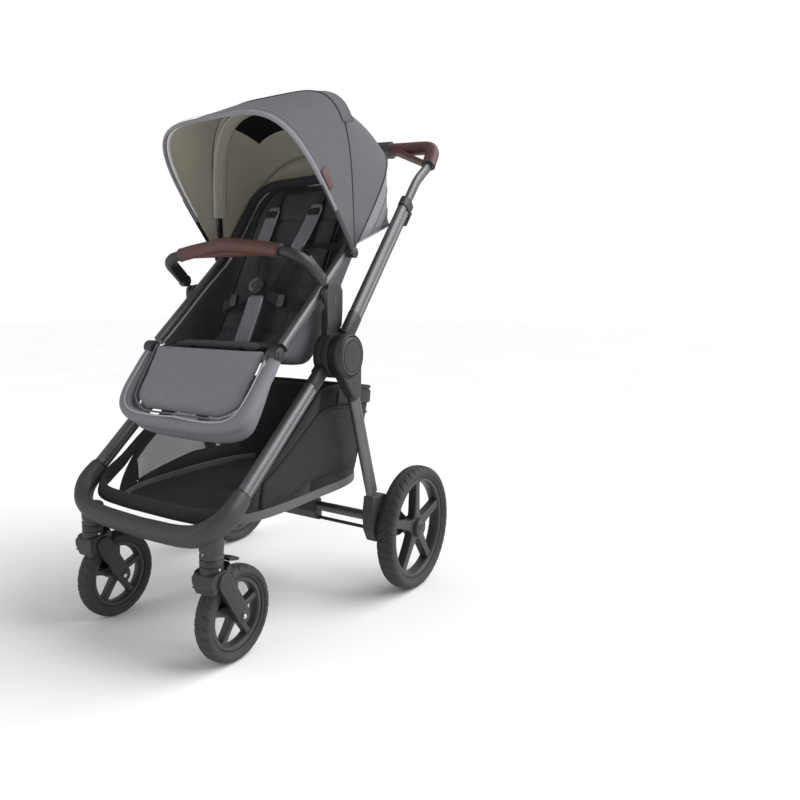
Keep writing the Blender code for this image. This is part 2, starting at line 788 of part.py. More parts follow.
def caster_fork(side):
    """Swivel fork with its stem and axle bolt."""
    x = side * FRONT_WHEEL_X
    outline = [(-0.0740, 0.2060), (-0.0840, 0.2000), (-0.0900, 0.1880), (-0.0880, 0.1700),
               (-0.0740, 0.1400), (-0.0500, 0.1090), (-0.0150, 0.0800), (-0.0030, 0.0765),
               (0.0090, 0.0790), (0.0155, 0.0885), (0.0145, 0.1000), (0.0000, 0.1280),
               (-0.0140, 0.1600), (-0.0230, 0.1900), (-0.0340, 0.2060)]
    plates = prism(outline, (x - FORK_HALF, x + FORK_HALF), 0.003)
    stem = post((x, CASTER_Y), 0.0220, (0.198, FORK_TOP))
    slot = bar((x - FORK_SLOT_HALF, x + FORK_SLOT_HALF), FRONT_AXLE, FRONT_RADIUS + 0.0035, 32)
    bolt = bar((x - FORK_HALF - 0.002, x + FORK_HALF + 0.002), FRONT_AXLE, 0.0053)
    return solid("caster_fork_" + side_name(side), [plates, stem], black_plastic(),
                 (x, CASTER_Y, FORK_TOP), [slot], [bolt])


CASTER_LOCK_PIVOT = (-0.0185, 0.2050)


def caster_lock(side):
    """Tab behind the stem that locks the swivel."""
    x = side * FRONT_WHEEL_X
    outline = [(-0.0215, 0.2080), (-0.0215, 0.2020), (0.004, 0.1960), (0.0085, 0.1985),
               (0.006, 0.2015), (-0.014, 0.2085)]
    return solid("caster_lock_" + side_name(side), [prism(outline, (x - 0.011, x + 0.011), 0.001)],
                 black_plastic(), (x, *CASTER_LOCK_PIVOT))


# ---------------------------------------------------------------- seat
def seat_frame():
    """Seat side tubes and the arch over the backrest, one bent tube."""
    half = fillet([(SEAT_TUBE_X, 0.1440, 0.5890), (SEAT_TUBE_X, 0.3790, 0.7920),
                   (SEAT_TUBE_X, 0.5150, 0.9700), (0.0, 0.5200, 0.9760)], 0.065)
    size = (SEAT_TUBE_SIZE[1], SEAT_TUBE_SIZE[0])
    parts = [sweep(mirrored(half), oval(size), (0, -0.70, 0.714))]
    for side in (1, -1):
        parts.append(bar(sorted((side * 0.1800, side * 0.1990)), CANOPY_PIVOT, PIN_RADIUS, 20))
    return solid("seat_frame", parts, tube_metal(), (0, *RECLINE))


def seat_hub(side):
    """Recline hub plate on the outer face of the seat tube."""
    return solid("seat_hub_" + side_name(side), [disc(side, RECLINE, SEAT_HUB_RADIUS, SEAT_HUB_X)],
                 black_plastic(), (0, *RECLINE))


# side-view lines of the seat, front edge to top: its underside, its pad top, its frame
SHELL_LINE = [(0.140, 0.566), (0.195, 0.553), (0.250, 0.543), (0.284, 0.549), (0.318, 0.592),
              (0.365, 0.660), (0.420, 0.745), (0.475, 0.830), (0.535, 0.955)]
FRAME_LINE = [(0.148, 0.580), (0.178, 0.606), (0.215, 0.638), (0.252, 0.672), (0.292, 0.706),
              (0.332, 0.738), (0.376, 0.776), (0.425, 0.838), (0.478, 0.915)]
PAD_LINE = [(0.136, 0.590), (0.180, 0.581), (0.225, 0.575), (0.262, 0.578), (0.292, 0.607),
            (0.325, 0.670), (0.365, 0.745), (0.405, 0.822), (0.448, 0.905), (0.474, 0.945)]


def seat_shell():
    """Sling of fabric hung from the seat tubes, with raised sides."""
    across = ((-0.1640, 1.0), (-0.1615, 0.55), (-0.1540, 0.16), (-0.1360, 0.02), (-0.07, 0.0),
              (0.0, 0.0), (0.07, 0.0), (0.1360, 0.02), (0.1540, 0.16), (0.1615, 0.55),
              (0.1640, 1.0))
    rows = []
    for low, high in zip(SHELL_LINE, FRAME_LINE):
        row = []
        narrow = 0.84 if low is SHELL_LINE[-1] else 1.0
        for x, share in across:
            y = low[0] + (high[0] - low[0]) * share
            z = low[1] + (high[1] - low[1]) * share
            row.append(Vector((x * narrow, y, z)))
        rows.append(row)
    return solid("seat_shell", [thick_sheet(rows, 0.004)], seat_fabric(), (0, *RECLINE))


def seat_pad():
    """Soft liner over the seat and the backrest."""
    rows = []
    for y, z in PAD_LINE:
        rows.append([Vector((x, y, z)) for x in (-0.130, -0.09, 0.0, 0.09, 0.130)])
    return solid("seat_pad", [thick_sheet(rows, 0.016)], seat_fabric(), (0, *RECLINE))


def shoulder_strap(side):
    """Shoulder pad strap with the lap strap that branches from it."""
    s = side
    path = fillet([(s * 0.064, 0.4310, 0.9100), (s * 0.060, 0.3980, 0.8480),
                   (s * 0.050, 0.3420, 0.7700), (s * 0.0235, 0.2980, 0.7210)], 0.02, 3)
    strap = sweep(path, rectangle((0.036, 0.006)), (1, 0, 0))
    lap = fillet([(s * 0.020, 0.2905, 0.6960), (s * 0.060, 0.2860, 0.6800),
                  (s * 0.118, 0.3000, 0.6660)], 0.02, 3)
    belt = sweep(lap, rectangle((0.022, 0.005)), (0, 0.3, 1))
    link = sweep([(s * 0.0262, 0.2895, 0.6880), (s * 0.0265, 0.2972, 0.7260)],
                 rectangle((0.014, 0.004)), (1, 0, 0))
    return solid("shoulder_strap_" + side_name(side), [strap, belt, link], strap_pad(),
                 (0, *RECLINE))


def crotch_pad():
    """Padded strap that rises from the seat to the buckle."""
    path = [(0, 0.2290, 0.5870), (0, 0.2450, 0.6150), (0, 0.2750, 0.6720), (0, 0.2830, 0.6860)]
    return solid("crotch_pad", [sweep(path, oval((0.040, 0.010), 12), (1, 0, 0))], strap_pad(),
                 (0, *RECLINE))


BUCKLE = Vector((0, 0.2850, 0.7090))
BUCKLE_NORMAL = Vector((0, -0.848, 0.530))


def buckle():
    """Round centre buckle with a well for its button."""
    n = BUCKLE_NORMAL
    body = sweep([BUCKLE, BUCKLE + n * 0.002, BUCKLE + n * 0.011, BUCKLE + n * 0.013],
                 oval((0.042, 0.042), 24), (1, 0, 0))
    well = sweep([BUCKLE + n * 0.007, BUCKLE + n * 0.020], oval((0.0195, 0.0195), 20), (1, 0, 0))
    return solid("buckle", [body], black_plastic(), BUCKLE, [well])


def buckle_button():
    """Press button in the middle of the buckle."""
    n = BUCKLE_NORMAL
    cap = sweep([BUCKLE + n * 0.0100, BUCKLE + n * 0.0142], oval((0.0183, 0.0183), 20), (1, 0, 0))
    return solid("buckle_button", [cap], strap_pad(), BUCKLE)


def foot_hinge(side):
    """Knuckle between the seat tube and the footrest."""
    return disc(side, FOOT_HINGE, 0.0145, (0.1660, 0.1900))


def footrest_frame():
    """U shaped footrest tube with its two hinge knuckles."""
    normal = (0, -0.77, 0.64)
    half = fillet([(SEAT_TUBE_X, 0.1240, 0.5700), (0.1740, 0.0300, 0.4560),
                   (0.0, 0.0200, 0.4330)], 0.075)
    tube = sweep(mirrored(half), oval((0.026, 0.022), 12), normal)
    knuckles = [foot_hinge(side) for side in (1, -1)]
    return solid("footrest_frame", [tube] + knuckles, foot_fabric(), (0, *FOOT_HINGE))


def footrest_pad():
    """Padded panel inside the footrest tube."""
    rows = []
    for share in (0.0, 0.2, 0.4, 0.6, 0.8, 1.0):
        y = 0.1170 + (0.0445 - 0.1170) * share
        z = 0.5740 + (0.4640 - 0.5740) * share
        half = 0.1580 - 0.028 * share ** 4
        rows.append([Vector((x * half, y, z + 0.004 * (1 - x * x)))
                     for x in (-1, -0.85, -0.4, 0, 0.4, 0.85, 1)])
    return solid("footrest_pad", [thick_sheet(rows, 0.016)], foot_fabric(), (0, *FOOT_HINGE))


# ---------------------------------------------------------------- bumper bar
def bumper_half():
    return fillet([(BUMPER_X, *BUMPER_PIVOT), (0.1945, 0.1840, 0.7715),
                   (0.120, 0.1840, 0.7870), (0.0, 0.1760, 0.8000)], 0.050)


BUMPER_NORMAL = (0, 0.70, 0.714)


def bumper_bar():
    """Curved bar across the front of the seat, with an eye at each end."""
    rod = sweep(mirrored(bumper_half()), oval((0.0165, 0.0165), 12), BUMPER_NORMAL)
    eyes = [disc(side, BUMPER_PIVOT, 0.0140, BUMPER_DISC_X) for side in (1, -1)]
    return solid("bumper_bar", [rod] + eyes, black_plastic(), (0, *BUMPER_PIVOT))


def bumper_cover():
    """Leather sleeve over the middle of the bumper bar."""
    path = [p for p in bumper_half() if p.x < 0.140]
    path = mirrored(path)
    cover = sleeve(path, oval((0.0310, 0.0290)), oval((0.0173, 0.0173)), BUMPER_NORMAL)
    return solid("bumper_cover", [cover], leather(), (0, *BUMPER_PIVOT))


# ---------------------------------------------------------------- canopy
def arch_point(arch, turn, angle):
    """Point of a superellipse arch, turned about the canopy pivot axis."""
    c = math.cos(turn)
    s = math.sin(turn)
    power = 2.0 / CANOPY_POWER
    x = arch[0] * math.copysign(abs(c) ** power, c)
    radius = arch[1] * abs(s) ** power
    return Vector((x, *along(math.radians(angle), radius, CANOPY_PIVOT)))


def arch_turns(first, count):
    """Even steps over the arch, closer together on the shoulders."""
    turns = []
    for i in range(count + 1):
        share = i / count
        turns.append(first + (math.pi - 2 * first) * share)
    return turns


def canopy_front():
    """Front canopy panel, carried by the front bow."""
    turns = arch_turns(0.028, 18)
    rows = []
    for i in range(6):
        row = []
        for turn in turns:
            radius = FRONT_ARCH[1] * math.sin(turn) ** (2.0 / CANOPY_POWER)
            front = FRONT_EDGE_ANGLE - math.degrees(BOW_CLEARANCE / radius)
            row.append(arch_point(FRONT_ARCH, turn, front + (MIDDLE_ANGLE - 3.0 - front) * i / 5))
        rows.append(row)
    return solid("canopy_front", [thick_sheet(rows, 0.0022)], canopy_fabric(), (0, *CANOPY_PIVOT))


def bow(arch, angle, eye_x, size, bore):
    """An arch rod with a boss or an eye at each end, on the pivot pins."""
    path = [arch_point(arch, t, angle) for t in arch_turns(0.03, 16)]
    first = Vector((arch[0], *along(math.radians(angle), 0.0095, CANOPY_PIVOT)))
    last = Vector((-first.x, first.y, first.z))
    spin = math.radians(angle)
    rod = sweep([first] + path + [last], oval(size, 8), (0, -math.sin(spin), math.cos(spin)))
    return [rod] + [disc(side, CANOPY_PIVOT, EYE_RADIUS, eye_x, 0.001, bore) for side in (1, -1)]


def canopy_front_bow():
    parts = bow(FRONT_BOW_ARCH, FRONT_EDGE_ANGLE, (0.1996, 0.2054), (0.0075, 0.0046), 0.0)
    return solid("canopy_front_bow", parts, black_plastic(), (0, *CANOPY_PIVOT))


def canopy_middle_bow():
    parts = bow(MIDDLE_BOW_ARCH, MIDDLE_ANGLE - 2.0, (0.1890, 0.1942), (0.0080, 0.0044), EYE_BORE)
    return solid("canopy_middle_bow", parts, black_plastic(), (0, *CANOPY_PIVOT))


def canopy_rear():
    """Fixed canopy panel from the middle seam over the back to its hem."""
    turns = arch_turns(0.045, 18)
    rows = []
    for i in range(5):
        angle = MIDDLE_ANGLE + (REAR_ARCH_ANGLE - MIDDLE_ANGLE) * i / 4
        rows.append([arch_point(REAR_ARCH, t, angle) for t in turns])
    arch = rows[-1]
    for i in range(1, 6):
        share = i / 5
        row = []
        for point in arch:
            hem = Vector((point.x * REAR_HEM[0] / REAR_ARCH[0], REAR_HEM[1], REAR_HEM[2]))
            bulge = Vector((0, 0.020 * math.sin(math.pi * share) * (1 - abs(point.x / 0.2) ** 3), 0))
            row.append(point.lerp(hem, share) + bulge)
        rows.append(row)
    return solid("canopy_rear", [thick_sheet(rows, CANOPY_SHEET)], canopy_fabric(),
                 (0, *CANOPY_PIVOT))


# ---------------------------------------------------------------- assembly
def clear_scene():
    for old in list(bpy.data.objects):
        bpy.data.objects.remove(old)


def build():
    clear_scene()
    front_bar()
    basket()
    for side in (1, -1):
        front_tube(side)
        hub_cap(side)
        seat_mount(side)
        seat_adapter(side)
        release_button(side)
        handle_tube(side)
        handle_collar(side)
        clamp_lever(side)
        grip(side)
        rear_leg(side)
        wheel_housing(side)
        front_wheel(side)
        rear_wheel(side)
        caster_fork(side)
        caster_lock(side)
        seat_hub(side)
        shoulder_strap(side)
    handle_bar()
    fold_housing()
    fold_button()
    rear_axle_bar()
    brake_unit()
    brake_pedal()
    seat_frame()
    seat_shell()
    seat_pad()
    crotch_pad()
    buckle()
    buckle_button()
    footrest_frame()
    footrest_pad()
    bumper_bar()
    bumper_cover()
    canopy_front()
    canopy_front_bow()
    canopy_middle_bow()
    canopy_rear()


build()
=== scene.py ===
"""Looks of the pushchair: detailed pieces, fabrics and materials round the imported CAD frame.

Metres, +Z up, the pushchair faces -Y. As in the CAD source, y is counted from the front
axle inside this file, and every mesh is moved by ORIGIN_Y as it is made.
"""
from math import acos, atan2, copysign, cos, exp, hypot, pi, radians, sin

import bmesh
import bpy
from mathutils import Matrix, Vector, noise


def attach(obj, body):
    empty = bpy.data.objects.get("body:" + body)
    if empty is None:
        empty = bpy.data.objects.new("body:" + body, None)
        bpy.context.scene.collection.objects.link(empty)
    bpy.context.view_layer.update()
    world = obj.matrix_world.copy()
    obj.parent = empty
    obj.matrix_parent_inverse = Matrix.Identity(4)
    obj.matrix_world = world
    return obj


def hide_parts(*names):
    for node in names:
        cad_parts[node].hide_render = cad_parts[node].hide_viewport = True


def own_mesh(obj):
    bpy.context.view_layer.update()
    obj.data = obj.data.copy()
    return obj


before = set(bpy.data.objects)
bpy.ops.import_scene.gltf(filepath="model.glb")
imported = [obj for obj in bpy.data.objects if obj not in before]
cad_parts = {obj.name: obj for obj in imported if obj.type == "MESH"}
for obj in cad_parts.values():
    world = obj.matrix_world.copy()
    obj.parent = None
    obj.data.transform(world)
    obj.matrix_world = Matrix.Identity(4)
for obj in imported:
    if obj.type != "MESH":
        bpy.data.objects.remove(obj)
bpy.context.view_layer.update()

# ---- CAD layout, repeated from the source ----
ORIGIN_Y = 0.3271
HUB = (0.28, 0.566)
FRONT_TUBE_X, HANDLE_X, LEG_X = 0.2045, 0.2185, 0.24
FRONT_TUBE_END = (-0.009, 0.3255)
HANDLE_ANGLE = radians(49.4)
LOWER_TUBE_END = 0.43
BEND = Vector((HANDLE_X, 0.684, 1.01))
CORNER = Vector((HANDLE_X - 0.003, 0.726, 1.064))
BAR_MIDDLE = Vector((0, 0.733, 1.078))
HANDLE_NORMAL = Vector((0, -sin(HANDLE_ANGLE), cos(HANDLE_ANGLE)))
HOUSING_HALF = 0.0915
LEG_END = (0.39, 0.25)
FRONT_AXLE, REAR_AXLE = (0.0, 0.0925), (0.517, 0.145)
FRONT_WHEEL_X, REAR_WHEEL_X = 0.17, 0.281
CASTER_Y = -0.0565
SEAT_TUBE_X = 0.178
BUMPER_PIVOT = (0.248, 0.726)
BUMPER_X = 0.1975
BUMPER_NORMAL, SEAT_NORMAL = (0, 0.7, 0.714), (0, -0.7, 0.714)
FOOT_HINGE = (0.123, 0.576)
CANOPY_PIVOT = (0.371, 0.785)
CANOPY_POWER = 4.5
REAR_ARCH, FRONT_ARCH = (0.1975, 0.352), (0.2013, 0.3575)
FRONT_BOW_ARCH, MIDDLE_BOW_ARCH = (0.2025, 0.36), (0.1915, 0.34)
FRONT_EDGE_ANGLE, MIDDLE_ANGLE, REAR_ARCH_ANGLE = 131.0, 95.0, 51.0
REAR_HEM = (0.188, 0.548, 0.86)
BUCKLE = Vector((0, 0.285, 0.709))
BUCKLE_NORMAL = Vector((0, -0.848, 0.53))
SIDES = ((1, "left"), (-1, "right"))
FRONT_TUBE, HANDLE_TUBE, LEG_TUBE = (0.024, 0.031), (0.022, 0.038), (0.019, 0.033)
FRONT_DISC, HANDLE_DISC, LEG_DISC = (0.19, 0.207), (0.2075, 0.2235), (0.224, 0.244)
HUB_RADIUS, PIN_RADIUS, TUBE_START, TUBE_GROOVE = 0.048, 0.0085, 0.052, 0.0017
FRONT_TYRE, REAR_TYRE = (0.0925, 0.037, 0.07, 28), (0.145, 0.043, 0.118, 42)
BOW_START, EYE_RADIUS = 0.0095, 0.012
PANEL_MEET, FRONT_SEAM = 98.0, 93.5
FRONT_SAG, REAR_SAG = 0.017, 0.008
PAD_BEND = 0.85
WINDOW_Y = (0.075, 0.42)


# ---------------------------------------------------------------- materials
class Nodes:
    """A small helper that adds and links shader nodes."""

    def __init__(self, name):
        self.material = bpy.data.materials.new(name)
        self.material.use_nodes = True
        self.tree = self.material.node_tree
        self.shader = self.tree.nodes["Principled BSDF"]
        self.where = self.add("ShaderNodeTexCoord").outputs

    def add(self, kind, values=(), **settings):
        node = self.tree.nodes.new(kind)
        for key, value in settings.items():
            setattr(node, key, value)
        for key, value in dict(values).items():
            if isinstance(value, bpy.types.NodeSocket):
                self.tree.links.new(value, node.inputs[key])
            else:
                node.inputs[key].default_value = value
        return node

    def link(self, out, into):
        self.tree.links.new(out, self.shader.inputs[into])

    def fix(self, into, value):
        self.shader.inputs[into].default_value = value

    def math(self, operation, a, b=0.0, c=0.0):
        return self.add("ShaderNodeMath", {0: a, 1: b, 2: c}, operation=operation).outputs[0]

    def noise(self, where, scale, detail=4.0, rough=0.5):
        return self.add("ShaderNodeTexNoise", {"Vector": where, "Scale": scale, "Detail": detail,
                                               "Roughness": rough}).outputs["Fac"]

    def spread(self, value, low, high, start=0.3, end=0.7):
        return self.add("ShaderNodeMapRange", {0: value, 1: start, 2: end, 3: low, 4: high}).outputs[0]

    def tint(self, value, dark, light, start=0.3, end=0.7):
        share = self.spread(value, 0.0, 1.0, start, end)
        return self.add("ShaderNodeMix", {0: share, 6: (*dark, 1), 7: (*light, 1)},
                        data_type="RGBA").outputs[2]

    def mix(self, share, a, b):
        return self.add("ShaderNodeMix", {0: share, 6: a, 7: b}, data_type="RGBA").outputs[2]

    def bump(self, height, strength, distance, normal=None):
        values = {"Strength": strength, "Distance": distance, "Height": height}
        if normal is not None:
            values["Normal"] = normal
        return self.add("ShaderNodeBump", values).outputs[0]


def scaled(colour, factor):
    """A colour made lighter or darker, no part above 1."""
    return tuple(min(1.0, part * factor) for part in colour)


def cloth(name, colour, thread=0.0009, contrast=0.16, rough=0.85, sheen=0.25, twill=False, holes=False):
    """Woven fabric: warp and weft bump in metres of UV, flecked threads, painted shade in the gaps
    between threads, soft sheen.
    """
    n = Nodes(name)
    here = n.where["Object"]
    split = n.add("ShaderNodeSeparateXYZ", {0: n.where["UV"]})
    turn = 2.0 * pi / thread
    u = n.math("MULTIPLY", split.outputs[0], turn)
    v = n.math("MULTIPLY", split.outputs[1], turn)
    if twill:
        u = n.math("ADD", u, v)
    warp = n.math("SINE", u)
    weft = n.math("SINE", v)
    cross = n.math("MULTIPLY", warp, weft)
    weave = n.math("MULTIPLY_ADD", cross, 0.5, 0.5)
    threads = n.add("ShaderNodeCombineXYZ", {0: n.math("MULTIPLY", split.outputs[0], 900.0),
                                             1: n.math("MULTIPLY", split.outputs[1], 40.0)})
    fleck = n.noise(threads.outputs[0], 1.0, 2.0)
    cloud = n.noise(here, 9.0, 3.0)
    fine = n.noise(here, 420.0, 2.0)
    base = n.tint(fleck, scaled(colour, 1 - contrast), scaled(colour, 1 + contrast))
    shade = n.mix(n.spread(cloud, 0.0, 0.35), base, (*scaled(colour, 1.12), 1))
    # painted shade: the colour darkens towards 0.55 of itself in the gaps between warp and weft, where
    # shade falls in the weave
    shade = n.mix(n.spread(weave, 0.22, 0.0, 0.0, 0.5), shade, (*scaled(colour, 0.55), 1))
    n.link(shade, "Base Color")
    n.link(n.spread(fine, rough - 0.07, min(1.0, rough + 0.07)), "Roughness")
    height = n.math("MULTIPLY_ADD", fine, 0.35, weave)
    n.link(n.bump(height, 0.45, 0.00035, n.bump(cloud, 0.12, 0.004)), "Normal")
    n.fix("Sheen Weight", sheen)
    n.fix("Sheen Roughness", 0.45)
    n.fix("Specular IOR Level", 0.3)
    if holes:
        n.link(n.spread(weave, 0.3, 1.0, 0.45, 0.62), "Alpha")
    return n.material


def plastic(name, colour, rough=0.46, grain=900.0, depth=0.00025, wear=1.9):
    """Moulded plastic: spark-eroded grain, uneven gloss, rubbed edges."""
    n = Nodes(name)
    here = n.where["Object"]
    cell = n.add("ShaderNodeTexVoronoi", {"Vector": here, "Scale": grain}).outputs["Distance"]
    fine = n.noise(here, grain * 0.6, 3.0)
    cloud = n.noise(here, 14.0, 4.0, 0.6)
    base = n.tint(cloud, scaled(colour, 0.86), scaled(colour, 1.16))
    edge = n.add("ShaderNodeNewGeometry").outputs["Pointiness"]
    rubbed = n.math("MULTIPLY", n.spread(edge, 0.0, 1.0, 0.53, 0.62), n.spread(fine, 0.2, 0.8))
    n.link(n.mix(rubbed, base, (*scaled(colour, wear), 1)), "Base Color")
    n.link(n.spread(n.math("MULTIPLY_ADD", fine, 0.5, n.math("MULTIPLY", cloud, 0.5)),
                    rough - 0.09, rough + 0.1), "Roughness")
    n.link(n.bump(n.math("ADD", cell, fine), 0.3, depth), "Normal")
    return n.material


def aluminium(name, colour, rough=0.33):
    """Anodised tube: lengthwise draw lines, satin gloss, faint dust."""
    n = Nodes(name)
    here = n.where["Object"]
    lines = n.add("ShaderNodeMapping", {"Vector": here, "Scale": (60.0, 60.0, 60.0)}).outputs[0]
    drawn = n.noise(lines, 26.0, 5.0, 0.7)
    blast = n.noise(here, 1500.0, 2.0)
    cloud = n.noise(here, 11.0, 3.0)
    n.link(n.tint(cloud, scaled(colour, 0.9), scaled(colour, 1.08)), "Base Color")
    n.link(n.spread(n.math("MULTIPLY_ADD", drawn, 0.5, n.math("MULTIPLY", cloud, 0.5)),
                    rough - 0.06, rough + 0.09), "Roughness")
    n.link(n.bump(n.math("ADD", blast, drawn), 0.1, 0.0002), "Normal")
    n.fix("Metallic", 0.92)
    return n.material


def rubber(name, colour, rough=0.72):
    """Tyre rubber: dull, finely pitted, a little dusty in the hollows."""
    n = Nodes(name)
    here = n.where["Object"]
    fine = n.noise(here, 700.0, 4.0, 0.6)
    cloud = n.noise(here, 18.0, 4.0, 0.6)
    edge = n.add("ShaderNodeNewGeometry").outputs["Pointiness"]
    dust = n.math("MULTIPLY", n.spread(edge, 0.55, 0.0, 0.4, 0.49), n.spread(cloud, 0.2, 1.0))
    base = n.tint(cloud, scaled(colour, 0.85), scaled(colour, 1.2))
    n.link(n.mix(dust, base, (*scaled(colour, 2.4), 1)), "Base Color")
    n.link(n.spread(fine, rough - 0.06, rough + 0.12), "Roughness")
    n.link(n.bump(fine, 0.35, 0.0003), "Normal")
    return n.material


def hide(name, colour, rough=0.5):
    """Leather: irregular cells with creases between them, darker in the creases as painted shade."""
    n = Nodes(name)
    here = n.where["Object"]
    warp = n.add("ShaderNodeTexNoise", {"Vector": here, "Scale": 120.0, "Detail": 2.0})
    moved = n.add("ShaderNodeMix", {0: 0.0025, 4: here, 5: warp.outputs["Color"]},
                  data_type="VECTOR").outputs[1]
    crease = n.add("ShaderNodeTexVoronoi", {"Vector": moved, "Scale": 620.0},
                   feature="DISTANCE_TO_EDGE").outputs["Distance"]
    pores = n.noise(here, 1400.0, 3.0)
    cloud = n.noise(here, 22.0, 4.0, 0.6)
    base = n.tint(cloud, scaled(colour, 0.8), scaled(colour, 1.25))
    # painted shade: the colour darkens to 0.45 of itself in the creases between the cells
    dark = n.spread(crease, 0.55, 0.0, 0.0, 0.1)
    n.link(n.mix(dark, base, (*scaled(colour, 0.45), 1)), "Base Color")
    n.link(n.spread(cloud, rough - 0.08, rough + 0.12), "Roughness")
    height = n.math("MULTIPLY_ADD", pores, 0.15, n.spread(crease, 0.0, 1.0, 0.0, 0.16))
    n.link(n.bump(height, 0.55, 0.0003), "Normal")
    n.fix("Coat Weight", 0.06)
    return n.material


METAL = aluminium("anodised_tube", (0.15, 0.152, 0.157), 0.48)
STEEL = aluminium("bright_steel_bolt", (0.62, 0.63, 0.65), 0.25)
BLACK = plastic("moulded_black", (0.017, 0.0175, 0.0185))
DARK = plastic("moulded_dark_grey", (0.03, 0.0305, 0.032), 0.5, 700.0)
SOFT_BLACK = plastic("satin_black", (0.018, 0.018, 0.02), 0.38, 1200.0, 0.00015)
RIM = plastic("moulded_rim", (0.028, 0.0285, 0.03), 0.48, 800.0)
TYRE = rubber("tyre_rubber_dull", (0.028, 0.0285, 0.03))
LEATHER = hide("stitched_leather", (0.092, 0.03, 0.023))
CANOPY = cloth("canopy_weave", (0.112, 0.1145, 0.127), 0.001, 0.12, 0.85, 0.05)
# painted light: the canopy cloth at about twice its brightness, standing for the light on the back panel
# and a highlight along the front hem
CANOPY_PAINTED_LIGHT = cloth("canopy_weave_painted_light", (0.225, 0.229, 0.249), 0.001, 0.12, 0.85, 0.06)
LINING = cloth("canopy_lining", (0.52, 0.5, 0.415), 0.0012, 0.1, 0.9, 0.05)
SLEEVE = cloth("bow_sleeve_cloth", (0.6, 0.58, 0.49), 0.0012, 0.1, 0.9, 0.05)
CREAM = cloth("binding_tape", (0.74, 0.73, 0.68), 0.0011, 0.08, 0.8, 0.2)
NET = cloth("window_net", (0.004, 0.004, 0.005), 0.0022, 0.1, 0.9, 0.0)
# painted shade: the seat melange is set well below the shell cloth to stand for the shade under the
# canopy, on top of the fabric's own darker tone
SEAT_WITH_PAINTED_SHADE = cloth("seat_melange_painted_shade", (0.046, 0.047, 0.053), 0.0013, 0.3, 0.9, 0.06, True)
SEAT_SIDE = cloth("seat_side_melange", (0.1, 0.103, 0.114), 0.0012, 0.22, 0.88, 0.06)
FOOT = cloth("footrest_weave", (0.19, 0.194, 0.214), 0.0011, 0.1, 0.78, 0.05)
PAD_CLOTH = cloth("harness_pad_cloth", (0.165, 0.169, 0.187), 0.0012, 0.14, 0.85, 0.06)
PIPING = cloth("pale_piping", (0.36, 0.365, 0.38), 0.001, 0.1, 0.7, 0.2)
DARK_PIPING = cloth("dark_piping", (0.022, 0.023, 0.026), 0.0009, 0.15, 0.7, 0.2)
WEBBING = cloth("black_webbing", (0.014, 0.014, 0.016), 0.0022, 0.2, 0.75, 0.2, True)
BASKET = cloth("basket_canvas", (0.016, 0.0163, 0.018), 0.0014, 0.2, 0.85, 0.05)
BLACK_CLOTH = cloth("basket_band", (0.02, 0.0205, 0.022), 0.0012, 0.14, 0.8, 0.05)
BASKET_NET = cloth("basket_net", (0.03, 0.031, 0.034), 0.0034, 0.12, 0.8, 0.1, holes=True)
RAIL = cloth("basket_rail_tape", (0.095, 0.097, 0.102), 0.0012, 0.12, 0.8, 0.2)
THREAD = cloth("pale_thread", (0.3, 0.3, 0.31), 0.0006, 0.1, 0.7, 0.2)
DARK_THREAD = cloth("dark_thread", (0.03, 0.028, 0.028), 0.0006, 0.1, 0.7, 0.2)


# ---------------------------------------------------------------- shapes
def oval(size, count=40, groove=0.0, power=0.75, groove_half=0.0032):
    """A superellipse outline; a groove sinks a channel in the middle of both u faces."""
    points = []
    for i in range(count):
        angle = 2.0 * pi * (i + 0.5) / count
        c, s = cos(angle), sin(angle)
        u = 0.5 * size[0] * copysign(abs(c) ** power, c)
        v = 0.5 * size[1] * copysign(abs(s) ** power, s)
        if groove and abs(v) < groove_half:
            u -= copysign(groove, u)
        points.append((u, v))
    return points


def round_box(size, radius, steps=4):
    """A rectangle with rounded corners."""
    points = []
    for corner, (su, sv) in enumerate(((1, 1), (-1, 1), (-1, -1), (1, -1))):
        for i in range(steps + 1):
            angle = pi / 2 * (corner + i / steps)
            points.append((su * (0.5 * size[0] - radius) + radius * cos(angle),
                           sv * (0.5 * size[1] - radius) + radius * sin(angle)))
    return points


def fillet(points, radius, steps=12):
    """A path through points with its corners rounded."""
    path = [Vector(points[0])]
    for before, corner, after in zip(points, points[1:], points[2:]):
        corner = Vector(corner)
        a, b = Vector(before) - corner, Vector(after) - corner
        reach = min(radius, 0.49 * a.length, 0.49 * b.length)
        start, end = corner + a.normalized() * reach, corner + b.normalized() * reach
        for i in range(steps + 1):
            t = i / steps
            path.append(start * (1 - t) ** 2 + corner * (2 * t * (1 - t)) + end * t ** 2)
    path.append(Vector(points[-1]))
    return path


def smooth_line(points, steps=6):
    """Catmull-Rom through points of any length."""
    points = [Vector(p) for p in points]
    ends = [points[0] * 2 - points[1]] + points + [points[-1] * 2 - points[-2]]
    made = []
    for a, b, c, d in zip(ends, ends[1:], ends[2:], ends[3:]):
        for i in range(steps):
            t = i / steps
            made.append(0.5 * (b * 2 + (c - a) * t + (a * 2 - b * 5 + c * 4 - d) * t ** 2
                               + (b * 3 - a - c * 3 + d) * t ** 3))
    return made + [points[-1]]


def resample(path, count):
    """Evenly spaced points along a path."""
    path = [Vector(p) for p in path]
    lengths, made, j = distances(path), [], 0
    for i in range(count + 1):
        want = lengths[-1] * i / count
        while j < len(path) - 2 and lengths[j + 1] < want:
            j += 1
        span = lengths[j + 1] - lengths[j]
        made.append(path[j].lerp(path[j + 1], (want - lengths[j]) / span if span else 0.0))
    return made


def curve(points, steps, count):
    """Evenly spaced points along a smooth line through the given ones."""
    return resample(smooth_line(points, steps), count)


def flipped(point):
    """The same point on the other side of the middle plane."""
    return Vector((-point.x, point.y, point.z))


